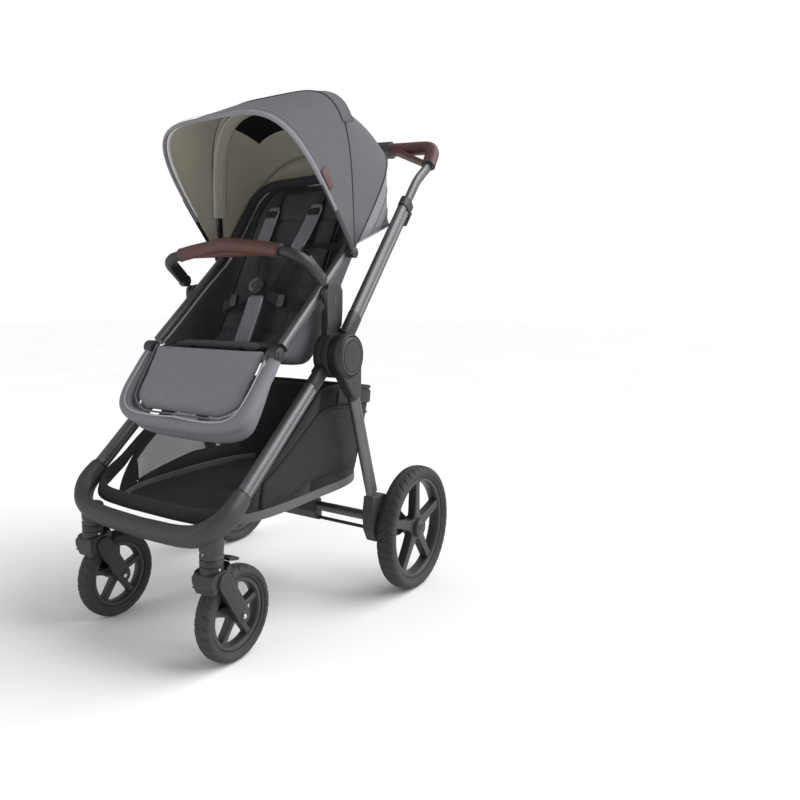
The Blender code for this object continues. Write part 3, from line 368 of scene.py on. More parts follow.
def mirrored(half):
    """A path from one side to the middle, carried on to the other side."""
    return list(half) + [flipped(p) for p in reversed(half[:-1])]


def tangents(path):
    """The direction at each point of a path."""
    found, last = [], len(path) - 1
    for i in range(len(path)):
        a = (path[i] - path[i - 1]).normalized() if i > 0 else Vector((0, 0, 0))
        b = (path[i + 1] - path[i]).normalized() if i < last else Vector((0, 0, 0))
        found.append((a + b).normalized())
    return found


def grid_faces(bm, loops, wrap, layer, widths, lengths):
    """Quads between rows of vertices, with UVs in metres."""
    count = len(loops[0])
    for r in range(len(loops) - 1):
        for c in range(count if wrap else count - 1):
            n = (c + 1) % count
            face = bm.faces.new((loops[r][c], loops[r][n], loops[r + 1][n], loops[r + 1][c]))
            places = ((c, r), (c + 1, r), (c + 1, r + 1), (c, r + 1))
            for loop, (i, j) in zip(face.loops, places):
                loop[layer].uv = (widths * i, lengths[j])


def skin(bm, loops):
    """A closed surface over rings of vertices."""
    for one, two in zip(loops, loops[1:]):
        for k in range(len(one)):
            n = (k + 1) % len(one)
            bm.faces.new((one[k], one[n], two[n], two[k]))
    bm.faces.new(loops[0])
    bm.faces.new(loops[-1])


def distances(path):
    """The way gone at each point of a path."""
    gone = [0.0]
    for a, b in zip(path, path[1:]):
        gone.append(gone[-1] + (b - a).length)
    return gone


def across_axes(side, direction):
    """The two directions of a profile that lies square to a path."""
    u_axis = (side - direction * side.dot(direction)).normalized()
    return u_axis, direction.cross(u_axis)


def sweep(path, profile, side=(1, 0, 0), size=None):
    """A rod; size(share) scales its profile along the way."""
    path, side = [Vector(p) for p in path], Vector(side)
    bm = bmesh.new()
    layer = bm.loops.layers.uv.new("metres")
    loops, lengths = [], distances(path)
    for point, direction, done in zip(path, tangents(path), lengths):
        u_axis, v_axis = across_axes(side, direction)
        factor = size(done / lengths[-1]) if size else 1.0
        fu, fv = factor if isinstance(factor, tuple) else (factor, factor)
        loops.append([bm.verts.new(point + u_axis * u * fu + v_axis * v * fv) for u, v in profile])
    around = sum((Vector(a) - Vector(b)).length for a, b in zip(profile, profile[1:]))
    grid_faces(bm, loops, True, layer, around / len(profile), lengths)
    bm.faces.new(loops[0])
    bm.faces.new(loops[-1])
    return bm


def ends(factor):
    """A size rule that draws in only the first and the last ring."""
    return lambda share: factor if share in (0.0, 1.0) else 1.0


def cord_on(path, radius, count=8):
    """A round cord; its first side is a direction that no path here follows."""
    turns_round = [2 * pi * i / count for i in range(count)]
    return sweep(path, [(radius * cos(t), radius * sin(t)) for t in turns_round], (0.12, 0.31, 0.94))


def hollow(path, outer, inner, side=(1, 0, 0), lip=0.0008):
    """A tube of one wall, its rims slightly rounded."""
    path, side = [Vector(p) for p in path], Vector(side)
    bm = bmesh.new()
    layer = bm.loops.layers.uv.new("metres")
    rows, lengths, along_all = [], distances(path), tangents(path)
    last, inset = len(path) - 1, 1 - 2 * lip / 0.03
    order = [(0, inner, 1.0, 0.0), (0, outer, inset, 0.0)]
    order += [(i, outer, 1.0, {0: lip, last: -lip}.get(i, 0.0)) for i in range(last + 1)]
    order += [(last, outer, inset, 0.0), (last, inner, 1.0, 0.0)]
    for i, profile, factor, shift in order:
        u_axis, v_axis = across_axes(side, along_all[i])
        centre = path[i] + along_all[i] * shift
        rows.append([bm.verts.new(centre + u_axis * u * factor + v_axis * v * factor)
                     for u, v in profile])
    spans = [0.0, 0.001] + [0.002 + value for value in lengths]
    spans += [spans[-1] + 0.001, spans[-1] + 0.002]
    around = sum((Vector(a) - Vector(b)).length for a, b in zip(outer, outer[1:]))
    grid_faces(bm, rows, True, layer, around / len(outer), spans)
    count = len(outer)
    for c in range(count):
        n = (c + 1) % count
        bm.faces.new((rows[0][c], rows[0][n], rows[-1][n], rows[-1][c]))
    return bm


def lathe(profile, centre, steps=72, axis="X", wave=None):
    """A closed (radius, along) outline turned about an axis; wave moves points by angle."""
    bm = bmesh.new()
    columns = []
    for i in range(steps):
        angle = 2.0 * pi * i / steps
        column = []
        for radius, span in profile:
            if wave:
                radius = wave(radius, span, angle)
            a, b = radius * cos(angle), radius * sin(angle)
            place = (span, centre[1] + a, centre[2] + b) if axis == "X" else (
                centre[0] + a, centre[1] + b, span)
            column.append(bm.verts.new(place))
        columns.append(column)
    count = len(profile)
    for i in range(steps):
        here, there = columns[i], columns[(i + 1) % steps]
        for j in range(count):
            k = (j + 1) % count
            if profile[j][0] == 0.0 and profile[k][0] == 0.0:
                continue
            bm.faces.new((here[j], here[k], there[k], there[j]))
    bmesh.ops.remove_doubles(bm, verts=bm.verts, dist=1e-7)
    return bm


def turned(outline, face, out, centre, steps):
    """An outline of (radius, height over a face) turned about an axle."""
    return lathe([(radius, face + out * height) for radius, height in outline], (0, *centre), steps)


def disc(side, centre, radius, span, soft=0.0015, bore=0.0, steps=72):
    """A flat disc across the pushchair with soft rims and an optional bore."""
    lo, hi = sorted((side * span[0], side * span[1]))
    s = soft * 0.3
    outline = [(radius - soft, lo), (radius - s, lo + s), (radius, lo + soft), (radius, hi - soft),
               (radius - s, hi - s), (radius - soft, hi), (bore, hi), (bore, lo)]
    return lathe(outline, (0, *centre), steps)


def prism(outline, span, soft=0.0, segments=3):
    """A (y, z) outline drawn along x with rounded end rims."""
    bm = bmesh.new()
    low = [bm.verts.new((min(span), y, z)) for y, z in outline]
    high = [bm.verts.new((max(span), y, z)) for y, z in outline]
    count = len(outline)
    for i in range(count):
        n = (i + 1) % count
        bm.faces.new((low[i], low[n], high[n], high[i]))
    bm.faces.new(low)
    bm.faces.new(high)
    if soft:
        rims = [e for e in bm.edges if abs(e.verts[0].co.x - e.verts[1].co.x) < 1e-9]
        bmesh.ops.bevel(bm, geom=rims, offset=soft, segments=segments, profile=0.5, affect="EDGES")
    return bm


def rounded(outline, steps=3, radius=0.006):
    """A closed (y, z) outline with its corners turned into short arcs."""
    made, count = [], len(outline)
    for i in range(count):
        corner = Vector(outline[i])
        a, b = Vector(outline[i - 1]) - corner, Vector(outline[(i + 1) % count]) - corner
        reach = min(radius, 0.45 * a.length, 0.45 * b.length)
        start, end = corner + a.normalized() * reach, corner + b.normalized() * reach
        for k in range(steps + 1):
            t = k / steps
            made.append(tuple(start * (1 - t) ** 2 + corner * (2 * t * (1 - t)) + end * t ** 2))
    return made


def surface_grid(rows):
    """An open sheet through rows of points, with UVs in metres."""
    bm = bmesh.new()
    layer = bm.loops.layers.uv.new("metres")
    loops = [[bm.verts.new(p) for p in row] for row in rows]
    middle = len(rows[0]) // 2
    lengths = distances([Vector(row[middle]) for row in rows])
    wide = max(row_length(row) for row in rows)
    grid_faces(bm, loops, False, layer, wide / (len(rows[0]) - 1), lengths)
    return bm


def row_length(row):
    """The length of a line of points."""
    return sum((b - a).length for a, b in zip(row, row[1:]))


def border(rows):
    """The closed line round a sheet."""
    edge = rows[0] + [row[-1] for row in rows[1:]] + rows[-1][::-1][1:]
    return edge + [row[0] for row in rows[::-1]]


def stitches(path, length=0.0036, gap=0.002, radius=0.00055):
    """A row of raised thread stitches along a path."""
    path = [Vector(p) for p in path]
    total = row_length(path)
    count = max(2, int(total / (length + gap)))
    points = resample(path, count * 4)
    bm = bmesh.new()
    bm.loops.layers.uv.new("metres")
    for i in range(count):
        a, b = points[4 * i], points[4 * i + 4]
        direction = b - a
        if direction.length < 1e-6:
            continue
        reach = direction * (length / (length + gap))
        side = direction.orthogonal().normalized()
        other = direction.cross(side).normalized()
        loops = []
        for share, factor in ((0.0, 0.35), (0.2, 1.0), (0.8, 1.0), (1.0, 0.35)):
            centre = a + reach * share
            loops.append([bm.verts.new(centre + (side * cos(k * pi / 3) + other * sin(k * pi / 3))
                                       * radius * factor) for k in range(6)])
        skin(bm, loops)
    return bm


def put(name, data):
    """A new object in the scene."""
    made = bpy.data.objects.new(name, data)
    bpy.context.scene.collection.objects.link(made)
    return made


def soften(piece, width, segments):
    """A small bevel on the hard edges of a piece."""
    change = piece.modifiers.new("edges", "BEVEL")
    change.width, change.segments, change.limit_method = width, segments, "ANGLE"
    change.angle_limit = radians(40)


def make(name, shapes, surface, body, stands_for=(), slot=None, bevel=0.0, thick=0.0,
         offset=0.0, sub=0, sharp=38.0):
    """One finished piece that rides on a CAD body."""
    bm = bmesh.new()
    for shape in shapes:
        mesh = bpy.data.meshes.new("part")
        shape.to_mesh(mesh)
        shape.free()
        bm.from_mesh(mesh)
        bpy.data.meshes.remove(mesh)
    bmesh.ops.recalc_face_normals(bm, faces=bm.faces)
    for vertex in bm.verts:
        vertex.co.y -= ORIGIN_Y
    mesh = bpy.data.meshes.new(name)
    bm.to_mesh(mesh)
    bm.free()
    mesh.polygons.foreach_set("use_smooth", [True] * len(mesh.polygons))
    mesh.set_sharp_from_angle(angle=radians(sharp))
    mesh.materials.append(surface)
    piece = put(name, mesh)
    if bevel:
        soften(piece, bevel, 3)
    if thick:
        change = piece.modifiers.new("thickness", "SOLIDIFY")
        change.thickness, change.offset = thick, offset
    if sub:
        change = piece.modifiers.new("smooth", "SUBSURF")
        change.levels = change.render_levels = sub
    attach(piece, body)
    if stands_for:
        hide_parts(*stands_for)
    return piece


def sheet(name, rows, surface, body, rests_on, thick=0.0016, held="stretched", **more):
    """A cloth piece: a sheet given a thickness."""
    piece = make(name, [surface_grid(rows)], surface, body, thick=thick, sharp=60.0, **more)
    return piece


def along(angle, distance, start=HUB):
    """The (y, z) point at a distance and an angle from a start."""
    return (start[0] + distance * cos(angle), start[1] + distance * sin(angle))


def angle_to(point, start=HUB):
    """The angle of the line from a start to a (y, z) point."""
    return atan2(point[1] - start[1], point[0] - start[0])


def ruffle(point, depth=0.0012, scale=11.0):
    """A small fixed unevenness for hand-sewn cloth."""
    return noise.noise(Vector(point) * scale) * depth


# ---------------------------------------------------------------- cloth simulation
def swell(name, shape, cap, voxel=0.005, pressure=4.0):
    """A mesh voxel-remeshed and blown up by cloth pressure, no point further than cap."""
    bmesh.ops.recalc_face_normals(shape, faces=shape.faces)
    mesh = bpy.data.meshes.new(name + "_start")
    shape.to_mesh(mesh)
    shape.free()
    work = put(name + "_start", mesh)
    scene = bpy.context.scene
    change = work.modifiers.new("voxels", "REMESH")
    change.mode, change.voxel_size = "VOXEL", voxel
    bpy.context.view_layer.update()
    graph = bpy.context.evaluated_depsgraph_get()
    remeshed = bpy.data.meshes.new_from_object(work.evaluated_get(graph))
    work.modifiers.clear()
    work.data = remeshed
    cloth_change = work.modifiers.new("cloth", "CLOTH")
    settings = cloth_change.settings
    settings.quality = 6
    settings.mass = 0.25
    settings.tension_stiffness = settings.compression_stiffness = 12.0
    settings.bending_stiffness = 0.6
    settings.use_pressure = True
    settings.uniform_pressure_force = pressure
    settings.effector_weights.gravity = 0.0
    cloth_change.point_cache.frame_start, cloth_change.point_cache.frame_end = 1, 20
    scene.frame_start, scene.frame_end = 1, 20
    for step in range(1, 21):
        scene.frame_set(step)
    graph = bpy.context.evaluated_depsgraph_get()
    blown = bpy.data.meshes.new_from_object(work.evaluated_get(graph))
    for before, after in zip(remeshed.vertices, blown.vertices):
        move = after.co - before.co
        if move.length > cap:
            after.co = before.co + move * (cap / move.length)
    scene.frame_set(1)
    remeshed = blown
    made = bmesh.new()
    made.from_mesh(remeshed)
    bpy.data.objects.remove(work)
    bmesh.ops.smooth_vert(made, verts=made.verts, factor=0.5, use_axis_x=True, use_axis_y=True,
                          use_axis_z=True)
    layer = made.loops.layers.uv.new("metres")
    for face in made.faces:
        steep = abs(face.normal.x) > 0.7
        for loop in face.loops:
            co = loop.vert.co
            loop[layer].uv = (co.y, co.z) if steep else (co.x, hypot(co.y, co.z))
    return made


def slab(line, ups, half_wide, thick, radius, lift=0.0):
    """A flat closed shape along a line; half_wide(share) is half its width, lift its crown."""
    bm = bmesh.new()
    loops = []
    for i, (point, up) in enumerate(zip(line, ups)):
        half = half_wide(i / (len(line) - 1))
        loops.append([bm.verts.new(point + Vector((u, 0, 0)) + up * (v + lift * (1 - (u / half) ** 2)))
                      for u, v in round_box((2 * half, thick), radius, 3)])
    skin(bm, loops)
    return bm


def padded(name, shapes, surface, body, fill, **more):
    """A soft piece, shaded smooth all over."""
    piece = make(name, shapes, surface, body, sharp=180.0, **more)
    return piece


# ---------------------------------------------------------------- frame tubes and hubs
def hub_shapes(side, span, angle, width, size, reach, x):
    """Black disc, web and socket at the hub end of a tube."""
    mid = side * 0.5 * (span[0] + span[1])
    web = round_box((span[1] - span[0] - 0.0008, width), 0.002)
    shapes = [disc(side, HUB, HUB_RADIUS, span, 0.0006, PIN_RADIUS, 96),
              sweep([(mid, *along(angle, 0.02)), (mid, *along(angle, 0.062))], web)]
    begin = TUBE_START - 0.001
    places = (begin - 0.0015, begin - 0.0005, begin + 0.5 * (reach - begin), reach - 0.001, reach)
    shapes.append(sweep([(side * x, *along(angle, d)) for d in places],
                        oval((size[0] + 0.0014, size[1] + 0.0014)), size=ends(0.97)))
    return shapes


def metal_tube(piece, node, name, x, begin, end, size, body):
    """A straight oval tube with a groove along both sides."""
    shape = sweep([(x, *begin), (x, *end)], oval(size, 64, TUBE_GROOVE))
    make(piece + name, [shape], METAL, body, [node + name], "satin_grey_aluminium", sharp=30)


def chassis_tubes():
    """Front tubes, handle tubes, rear legs and the hubs where they meet."""
    front = angle_to(FRONT_TUBE_END)
    leg = angle_to(LEG_END)
    for side, name in SIDES:
        metal_tube("front_tube_metal_", "front_tube_", name, side * FRONT_TUBE_X, FRONT_TUBE_END,
                   along(front, TUBE_START), FRONT_TUBE, "front_frame")
        make("front_hub_socket_" + name,
             hub_shapes(side, FRONT_DISC, front, 0.026, FRONT_TUBE, 0.098, FRONT_TUBE_X), BLACK,
             "front_frame", slot="black_plastic")
        metal_tube("handle_tube_metal_", "handle_tube_", name, side * HANDLE_X,
                   along(HANDLE_ANGLE, TUBE_START), along(HANDLE_ANGLE, LOWER_TUBE_END),
                   HANDLE_TUBE, "handle_frame")
        make("handle_hub_socket_" + name,
             hub_shapes(side, HANDLE_DISC, HANDLE_ANGLE, 0.03, HANDLE_TUBE, 0.108, HANDLE_X), BLACK,
             "handle_frame", slot="black_plastic")
        metal_tube("rear_leg_metal_", "rear_leg_", name, side * LEG_X, along(leg, TUBE_START),
                   LEG_END, LEG_TUBE, "rear_frame")
        shapes = hub_shapes(side, LEG_DISC, leg, 0.027, LEG_TUBE, 0.1, LEG_X)
        dome = [(0.0085, 0.2245), (0.0475, 0.2245), (0.048, 0.225), (0.048, 0.244),
                (0.0475, 0.249), (0.046, 0.2535), (0.044, 0.256), (0.043, 0.2562),
                (0.0424, 0.255), (0.0424, 0.2442), (0.0085, 0.244)]
        shapes.append(turned(dome, 0.0, side, HUB, 96))
        shapes.append(prism(teardrop(leg, 0.0476, 0.018, 0.082), (side * 0.231, side * 0.243), 0.003))
        shapes.append(prism(crescent(leg, 0.047, 0.018, 0.082), (side * 0.24, side * 0.2525), 0.004, 5))
        make("leg_hub_socket_" + name, shapes, BLACK, "rear_frame", slot="black_plastic")
        make("hub_cap_detailed_" + name, [hub_cap(side)], BLACK, "front_frame",
             ["hub_cap_" + name], "black_plastic")


def seat_towers():
    """The black sockets that carry the seat, from the hub up to the recline pivot."""
    foot = rounded([(0.26, 0.59), (0.306, 0.59), (0.313, 0.63), (0.315, 0.664),
                    (0.263, 0.664), (0.261, 0.63)], 4, 0.006)
    head = rounded([(0.263, 0.62), (0.314, 0.62), (0.318, 0.66), (0.318, 0.708), (0.306, 0.716),
                    (0.268, 0.716), (0.26, 0.706), (0.261, 0.66)], 5, 0.008)
    button = [(0.29 + 0.0058 * cos(pi * i / 16), 0.679 + 0.0118 * sin(pi * i / 16)) for i in range(32)]
    for side, name in SIDES:
        shapes = [prism(foot, (side * 0.1907, side * 0.206), 0.0025, 4),
                  prism(head, (side * 0.1977, side * 0.2068), 0.003, 5)]
        make("seat_tower_" + name, shapes, BLACK, "front_frame",
             ["seat_mount_" + name, "seat_adapter_" + name], "black_plastic")
        seam = [(side * 0.2064, y, 0.642 + 0.02 * (y - 0.288)) for y in (0.264, 0.29, 0.315)]
        make("seat_tower_seam_" + name, [cord_on([Vector(p) for p in seam], 0.0008)],
             SOFT_BLACK, "front_frame")
        make("release_button_moulded_" + name, [prism(button, (side * 0.204, side * 0.2073), 0.0008, 3)],
             DARK, "release_" + name, ["release_button_" + name], "rim_plastic")


def teardrop(angle, big, small, distance):
    """A hub outline that narrows towards a tube."""
    lean = acos((big - small) / distance)
    outline = []
    for i in range(41):
        turn = angle + lean + (2 * pi - 2 * lean) * i / 40
        outline.append(along(turn, big))
    end = along(angle, distance)
    for i in range(9):
        turn = angle - lean + 2 * lean * i / 8
        outline.append(along(turn, small, end))
    return outline


def crescent(angle, big, small, distance):
    """The part of a teardrop that lies outside its big circle."""
    outline = [along(angle - 0.95 + 1.9 * i / 20, big) for i in range(21)]
    end = along(angle, distance)
    lean = acos((big - small) / distance)
    return outline + [along(angle + lean - 2 * lean * i / 8, small, end) for i in range(9)]


def hub_cap(side):
    """The round cap that closes a hub, with a ring groove."""
    outline = [(0.0, 0.1885), (0.008, 0.1885), (0.008, 0.2445), (0.0405, 0.2445),
               (0.0415, 0.2455), (0.0415, 0.253), (0.041, 0.2552), (0.0394, 0.257),
               (0.0375, 0.2576), (0.033, 0.2578), (0.0326, 0.2566), (0.0318, 0.2566),
               (0.0314, 0.258), (0.022, 0.2588), (0.01, 0.259), (0.0, 0.259)]
    return turned(outline, 0.0, side, HUB, 96)


def front_bar():
    """The cross bar between the front tubes with its caster sockets."""
    angle = angle_to(FRONT_TUBE_END)
    low = along(angle, TUBE_START, FRONT_TUBE_END)
    start = along(angle, 0.0005, FRONT_TUBE_END)
    half = fillet([(FRONT_TUBE_X, *start), (FRONT_TUBE_X, *low), (0.168, -0.082, 0.262),
                   (0.11, -0.078, 0.25), (0.0, -0.076, 0.246)], 0.03, 10)

    def taper(share):
        end = min(share, 1 - share) / 0.07
        return 0.86 + 0.14 * min(1.0, end) ** 0.6
    beam = sweep(mirrored(resample(half, 40)), oval((0.046, 0.034), 44, power=0.86),
                 (0, -0.55, 0.835), taper)
    shapes = [beam]
    for side, _ in SIDES:
        x = side * FRONT_WHEEL_X
        outline = [(0.0, 0.2175), (0.0215, 0.2175), (0.023, 0.219), (0.023, 0.2225),
                   (0.0222, 0.2235), (0.0222, 0.23), (0.023, 0.232), (0.023, 0.256),
                   (0.0218, 0.26), (0.019, 0.262), (0.0, 0.262)]
        shapes.append(lathe(outline, (x, CASTER_Y, 0), 64, "Z"))
    make("front_bar_moulded", shapes, DARK, "front_frame", ["front_bar"], "black_plastic")
    ends = []
    for side, _ in SIDES:
        x = side * FRONT_TUBE_X
        a = along(angle + pi, 0.0045, FRONT_TUBE_END)
        ends.append(sweep([(x, *along(angle, 0.001, FRONT_TUBE_END)), (x, *a)],
                          oval((0.0268, 0.0338), 44)))
    make("front_bar_ends", ends, SOFT_BLACK, "front_frame", slot="black_plastic")
    pins = [disc(side, (CASTER_Y - 0.0225, 0.229), 0.0028, (0.1705, 0.172), 0.0003) for side, _ in SIDES]
    make("caster_socket_pins", pins, STEEL, "front_frame")


# ---------------------------------------------------------------- handle
def handle():
    """The handle bar with leather grips, and the collars on its tubes."""
    for side, name in SIDES:
        x = side * (HANDLE_X + 0.0013)
        start = LOWER_TUBE_END + 0.0005
        path = [(x, *along(HANDLE_ANGLE, d)) for d in (start, start + 0.013, start + 0.026)]
        make("handle_collar_moulded_" + name,
             [hollow(path, oval((0.0245, 0.045)), oval((0.0165, 0.025)), lip=0.0012)],
             BLACK, "handle_frame", ["handle_collar_" + name], "black_plastic")
    first = fillet([(HANDLE_X, *along(HANDLE_ANGLE, 0.31)),
                    (HANDLE_X, *along(HANDLE_ANGLE, 0.53)), BEND], 0.02, 8)
    second = fillet([BEND, CORNER, BAR_MIDDLE], 0.05, 14)
    make("handle_bar_metal", [sweep(mirrored(first[:-1] + second), oval((0.024, 0.0155), 40),
                                    HANDLE_NORMAL)],
         METAL, "handle", ["handle_bar"], "satin_grey_aluminium", sharp=30)
    begin = BEND.lerp(CORNER, 0.06)
    last = second[-2]
    end = last.lerp(BAR_MIDDLE, (last.x - HOUSING_HALF - 0.0005) / last.x)
    path = resample([begin] + second[1:-1] + [end], 30)
    for side, name in SIDES:
        route = [Vector((side * p.x, p.y, p.z)) for p in path]
        make("grip_leather_" + name, [hollow(route, oval((0.031, 0.0345), 44, power=0.85),
                                             oval((0.025, 0.0165), 44), HANDLE_NORMAL)], LEATHER,
             "handle", ["grip_" + name], "brown_leather")
        under = [p - HANDLE_NORMAL * 0.0157 for p in route[1:-1]]
        make("grip_seam_" + name, [stitches(under, 0.004, 0.002)], DARK_THREAD, "handle")
        for tag, index in (("low", 0), ("high", -1)):
            step = (route[1] - route[0]) if index == 0 else (route[-1] - route[-2])
            base = route[index]
            ring = [base - step.normalized() * 0.0022, base + step.normalized() * 0.0022]
            make("grip_ring_" + tag + "_" + name,
                 [hollow(ring, oval((0.0322, 0.0357), 44, power=0.85), oval((0.0246, 0.0161), 44),
                         HANDLE_NORMAL)], SOFT_BLACK, "handle")


# ---------------------------------------------------------------- wheels
def tread(radius, width, count):
    """Height change of a chevron tread at (radius, along, angle), relative to the wheel."""
    pitch = 2 * pi * radius / count

    def wave(r, span, angle):
        if r < radius - 0.0125:
            return r
        away = abs(span)
        phase = (angle * count / (2 * pi) - away / 0.03) % 1.0
        line = abs(phase - 0.5) * pitch
        depth = 0.002 * max(0.0, min(1.0, (0.0017 - line) / 0.0007))
        depth *= min(1.0, max(0.0, (away - 0.003) / 0.0015))
        if abs(away - 0.0022) < 0.0008:
            depth = max(depth, 0.001)
        return r - depth
    return wave


def tyre_outline(radius, width, inner):
    """The (radius, along) section of a tyre."""
    h = 0.5 * width
    outline = [(inner, -0.36 * width), (inner, 0.36 * width), (inner + 0.0022, 0.4 * width),
               (inner + 0.0036, 0.385 * width)]

    def wall(share, sign):
        r = inner + 0.005 + (radius - 0.014 - inner - 0.005) * share
        return (r, sign * h * (0.8 + 0.2 * sin(share * pi / 2)))
    outline += [wall(i / 6, 1) for i in range(7)]
    steps = 34
    for i in range(1, steps):
        turn = pi * i / steps
        outline.append((radius - 0.014 + 0.014 * sin(turn) ** 0.62, h * cos(turn)))
    outline += [wall(1 - i / 6, -1) for i in range(7)]
    outline += [(inner + 0.0036, -0.385 * width), (inner + 0.0022, -0.4 * width)]
    return outline


def tyre(name, node, body, x, centre, radius, width, inner, count):
    """A rubber tyre with a tread."""
    shape = tread(radius, width, count)
    outline = [(r, x + s) for r, s in tyre_outline(radius, width, inner)]
    bm = lathe(outline, (0, *centre), count * 14, wave=lambda r, span, angle: shape(r, span - x, angle))
    make(name, [bm], TYRE, body, [node], "tyre_rubber", sharp=50)


def spoke(x, centre, turn, inside, outside, half, depth):
    """One thick spoke that flares into the hub and into the ring."""
    axis = Vector((0, cos(turn), sin(turn)))
    path = []
    for i in range(13):
        path.append(Vector((x, *centre)) + axis * (inside + (outside - inside) * i / 12))

    def flare(share):
        ends = exp(-share / 0.1) * 0.55 + exp(-(1 - share) / 0.1) * 0.4
        wide = half[0] + (half[1] - half[0]) * share
        return (1.0, wide / half[0] * (1 + ends))
    return sweep(path, round_box((depth, 2 * half[0]), 0.0022, 3), (1, 0, 0), flare)


def rim(name, node, body, x, centre, outer, depth, hub_radius, bore, hub_width, half, cap):
    """A rim with five spokes, a hub and an optional cap."""
    h, w = 0.5 * depth, 0.5 * hub_width
    ring = [(outer - 0.0085, -h + 0.001), (outer - 0.0075, -h), (outer - 0.0012, -h),
            (outer, -h + 0.0012), (outer, h - 0.0012), (outer - 0.0012, h), (outer - 0.0075, h),
            (outer - 0.0085, h - 0.001), (outer - 0.0105, 0.5 * h), (outer - 0.0112, 0),
            (outer - 0.0105, -0.5 * h)]
    hub = [(bore, -w), (hub_radius - 0.004, -w), (hub_radius - 0.001, -w + 0.001),
           (hub_radius, -w + 0.004), (hub_radius, w - 0.004), (hub_radius - 0.001, w - 0.001),
           (hub_radius - 0.004, w), (hub_radius - 0.0055, w - 0.0012),
           (hub_radius - 0.0065, w - 0.0012), (hub_radius - 0.008, w), (bore, w)]
    shapes = [turned(ring, x, 1, centre, 144), turned(hub, x, 1, centre, 72)]
    for i in range(5):
        turn = 2 * pi * i / 5 + pi / 2
        shapes.append(spoke(x, centre, turn, hub_radius - 0.004, outer - 0.0065, half, 0.74 * depth))
    make(name, shapes, RIM, body, [node], "rim_plastic")
    if cap:
        side = copysign(1, x)
        outline = [(bore + 0.0004, x + side * (w - 0.002)), (0.0145, x + side * (w - 0.002)),
                   (0.0155, x + side * w), (0.0145, x + side * (w + 0.0008)),
                   (bore + 0.0004, x + side * (w + 0.0008))]
        make(name + "_cap", [lathe(outline, (0, *centre), 48)], SOFT_BLACK, body)


def wheels():
    """All four wheels."""
    for side, name in SIDES:
        x = side * FRONT_WHEEL_X
        tyre("front_tyre_detailed_" + name, "front_tyre_" + name, "front_wheel_" + name, x,
             FRONT_AXLE, *FRONT_TYRE)
        rim("front_rim_detailed_" + name, "front_rim_" + name, "front_wheel_" + name, x,
            FRONT_AXLE, 0.0695, 0.024, 0.015, 0.0058, 0.036, (0.0062, 0.0056), False)
        x = side * REAR_WHEEL_X
        tyre("rear_tyre_detailed_" + name, "rear_tyre_" + name, "rear_wheel_" + name, x,
             REAR_AXLE, *REAR_TYRE)
        rim("rear_rim_detailed_" + name, "rear_rim_" + name, "rear_wheel_" + name, x,
            REAR_AXLE, 0.1175, 0.028, 0.023, 0.0066, 0.041, (0.0118, 0.008), True)


BOLT = ((0, -0.008), (0.0046, -0.008), (0.0046, 0.001), (0.0038, 0.0018), (0, 0.0018))
BOLT_RING = ((0.005, -0.002), (0.0098, -0.002), (0.0098, 0.0004), (0.009, 0.0012),
             (0.0056, 0.0012), (0.005, 0.0004))
AXLE = ((0, -0.03), (0.0052, -0.03), (0.0052, 0.03), (0, 0.03))
CROWN_PIN = ((0, 0), (0.0022, 0), (0.0022, 0.0026), (0.0016, 0.0031), (0, 0.0031))


def casters():
    """The two front forks with their stems, bolts and pins."""
    top, foot = (-0.05, 0.174), FRONT_AXLE
    lean = atan2(foot[1] - top[1], foot[0] - top[0])
    arm = [along(lean + pi / 2 + pi * i / 12, 0.0172, top) for i in range(13)]
    arm += [along(lean - pi / 2 + pi * i / 12, 0.016, foot) for i in range(13)]
    arc = [along(radians(a), 0.0962, FRONT_AXLE) for a in range(142, 102, -5)]
    crown = rounded([(-0.032, 0.21), (-0.037, 0.196), (-0.07, 0.1945), (-0.0812, 0.19),
                     (-0.084, 0.179), (-0.08, 0.162)], 4, 0.006)[2:-2]
    crown += arc + [(-0.026, 0.195)]
    for side, name in SIDES:
        x = side * FRONT_WHEEL_X
        body = "caster_" + name
        shapes = [prism(arm, (x + a, x + b), 0.0028, 4) for a, b in ((-0.03, -0.0208), (0.0208, 0.03))]
        shapes.append(prism(crown, (x - 0.025, x + 0.025), 0.004, 4))
        stem = [(0.0, 0.186), (0.0222, 0.186), (0.0226, 0.189), (0.0226, 0.2035), (0.0214, 0.2041),
                (0.0226, 0.205), (0.0226, 0.215), (0.0216, 0.2168), (0.0, 0.2168)]
        shapes.append(lathe(stem, (x, CASTER_Y, 0), 64, "Z"))
        make("caster_fork_moulded_" + name, shapes, BLACK, body, ["caster_fork_" + name],
             "black_plastic", bevel=0.0008)
        bolts = [turned(BOLT, x + out * 0.03, out, FRONT_AXLE, 36) for out in (-1, 1)]
        rings = [turned(BOLT_RING, x + out * 0.03, out, FRONT_AXLE, 48) for out in (-1, 1)]
        bolts.append(turned(AXLE, x, 1, FRONT_AXLE, 24))
        bolts += [turned(CROWN_PIN, x + out * 0.0215, out, (CASTER_Y - 0.004, 0.2), 24)
                  for out in (-1, 1)]
        make("caster_bolt_" + name, bolts, STEEL, body)
        make("caster_bolt_ring_" + name, rings, SOFT_BLACK, body)


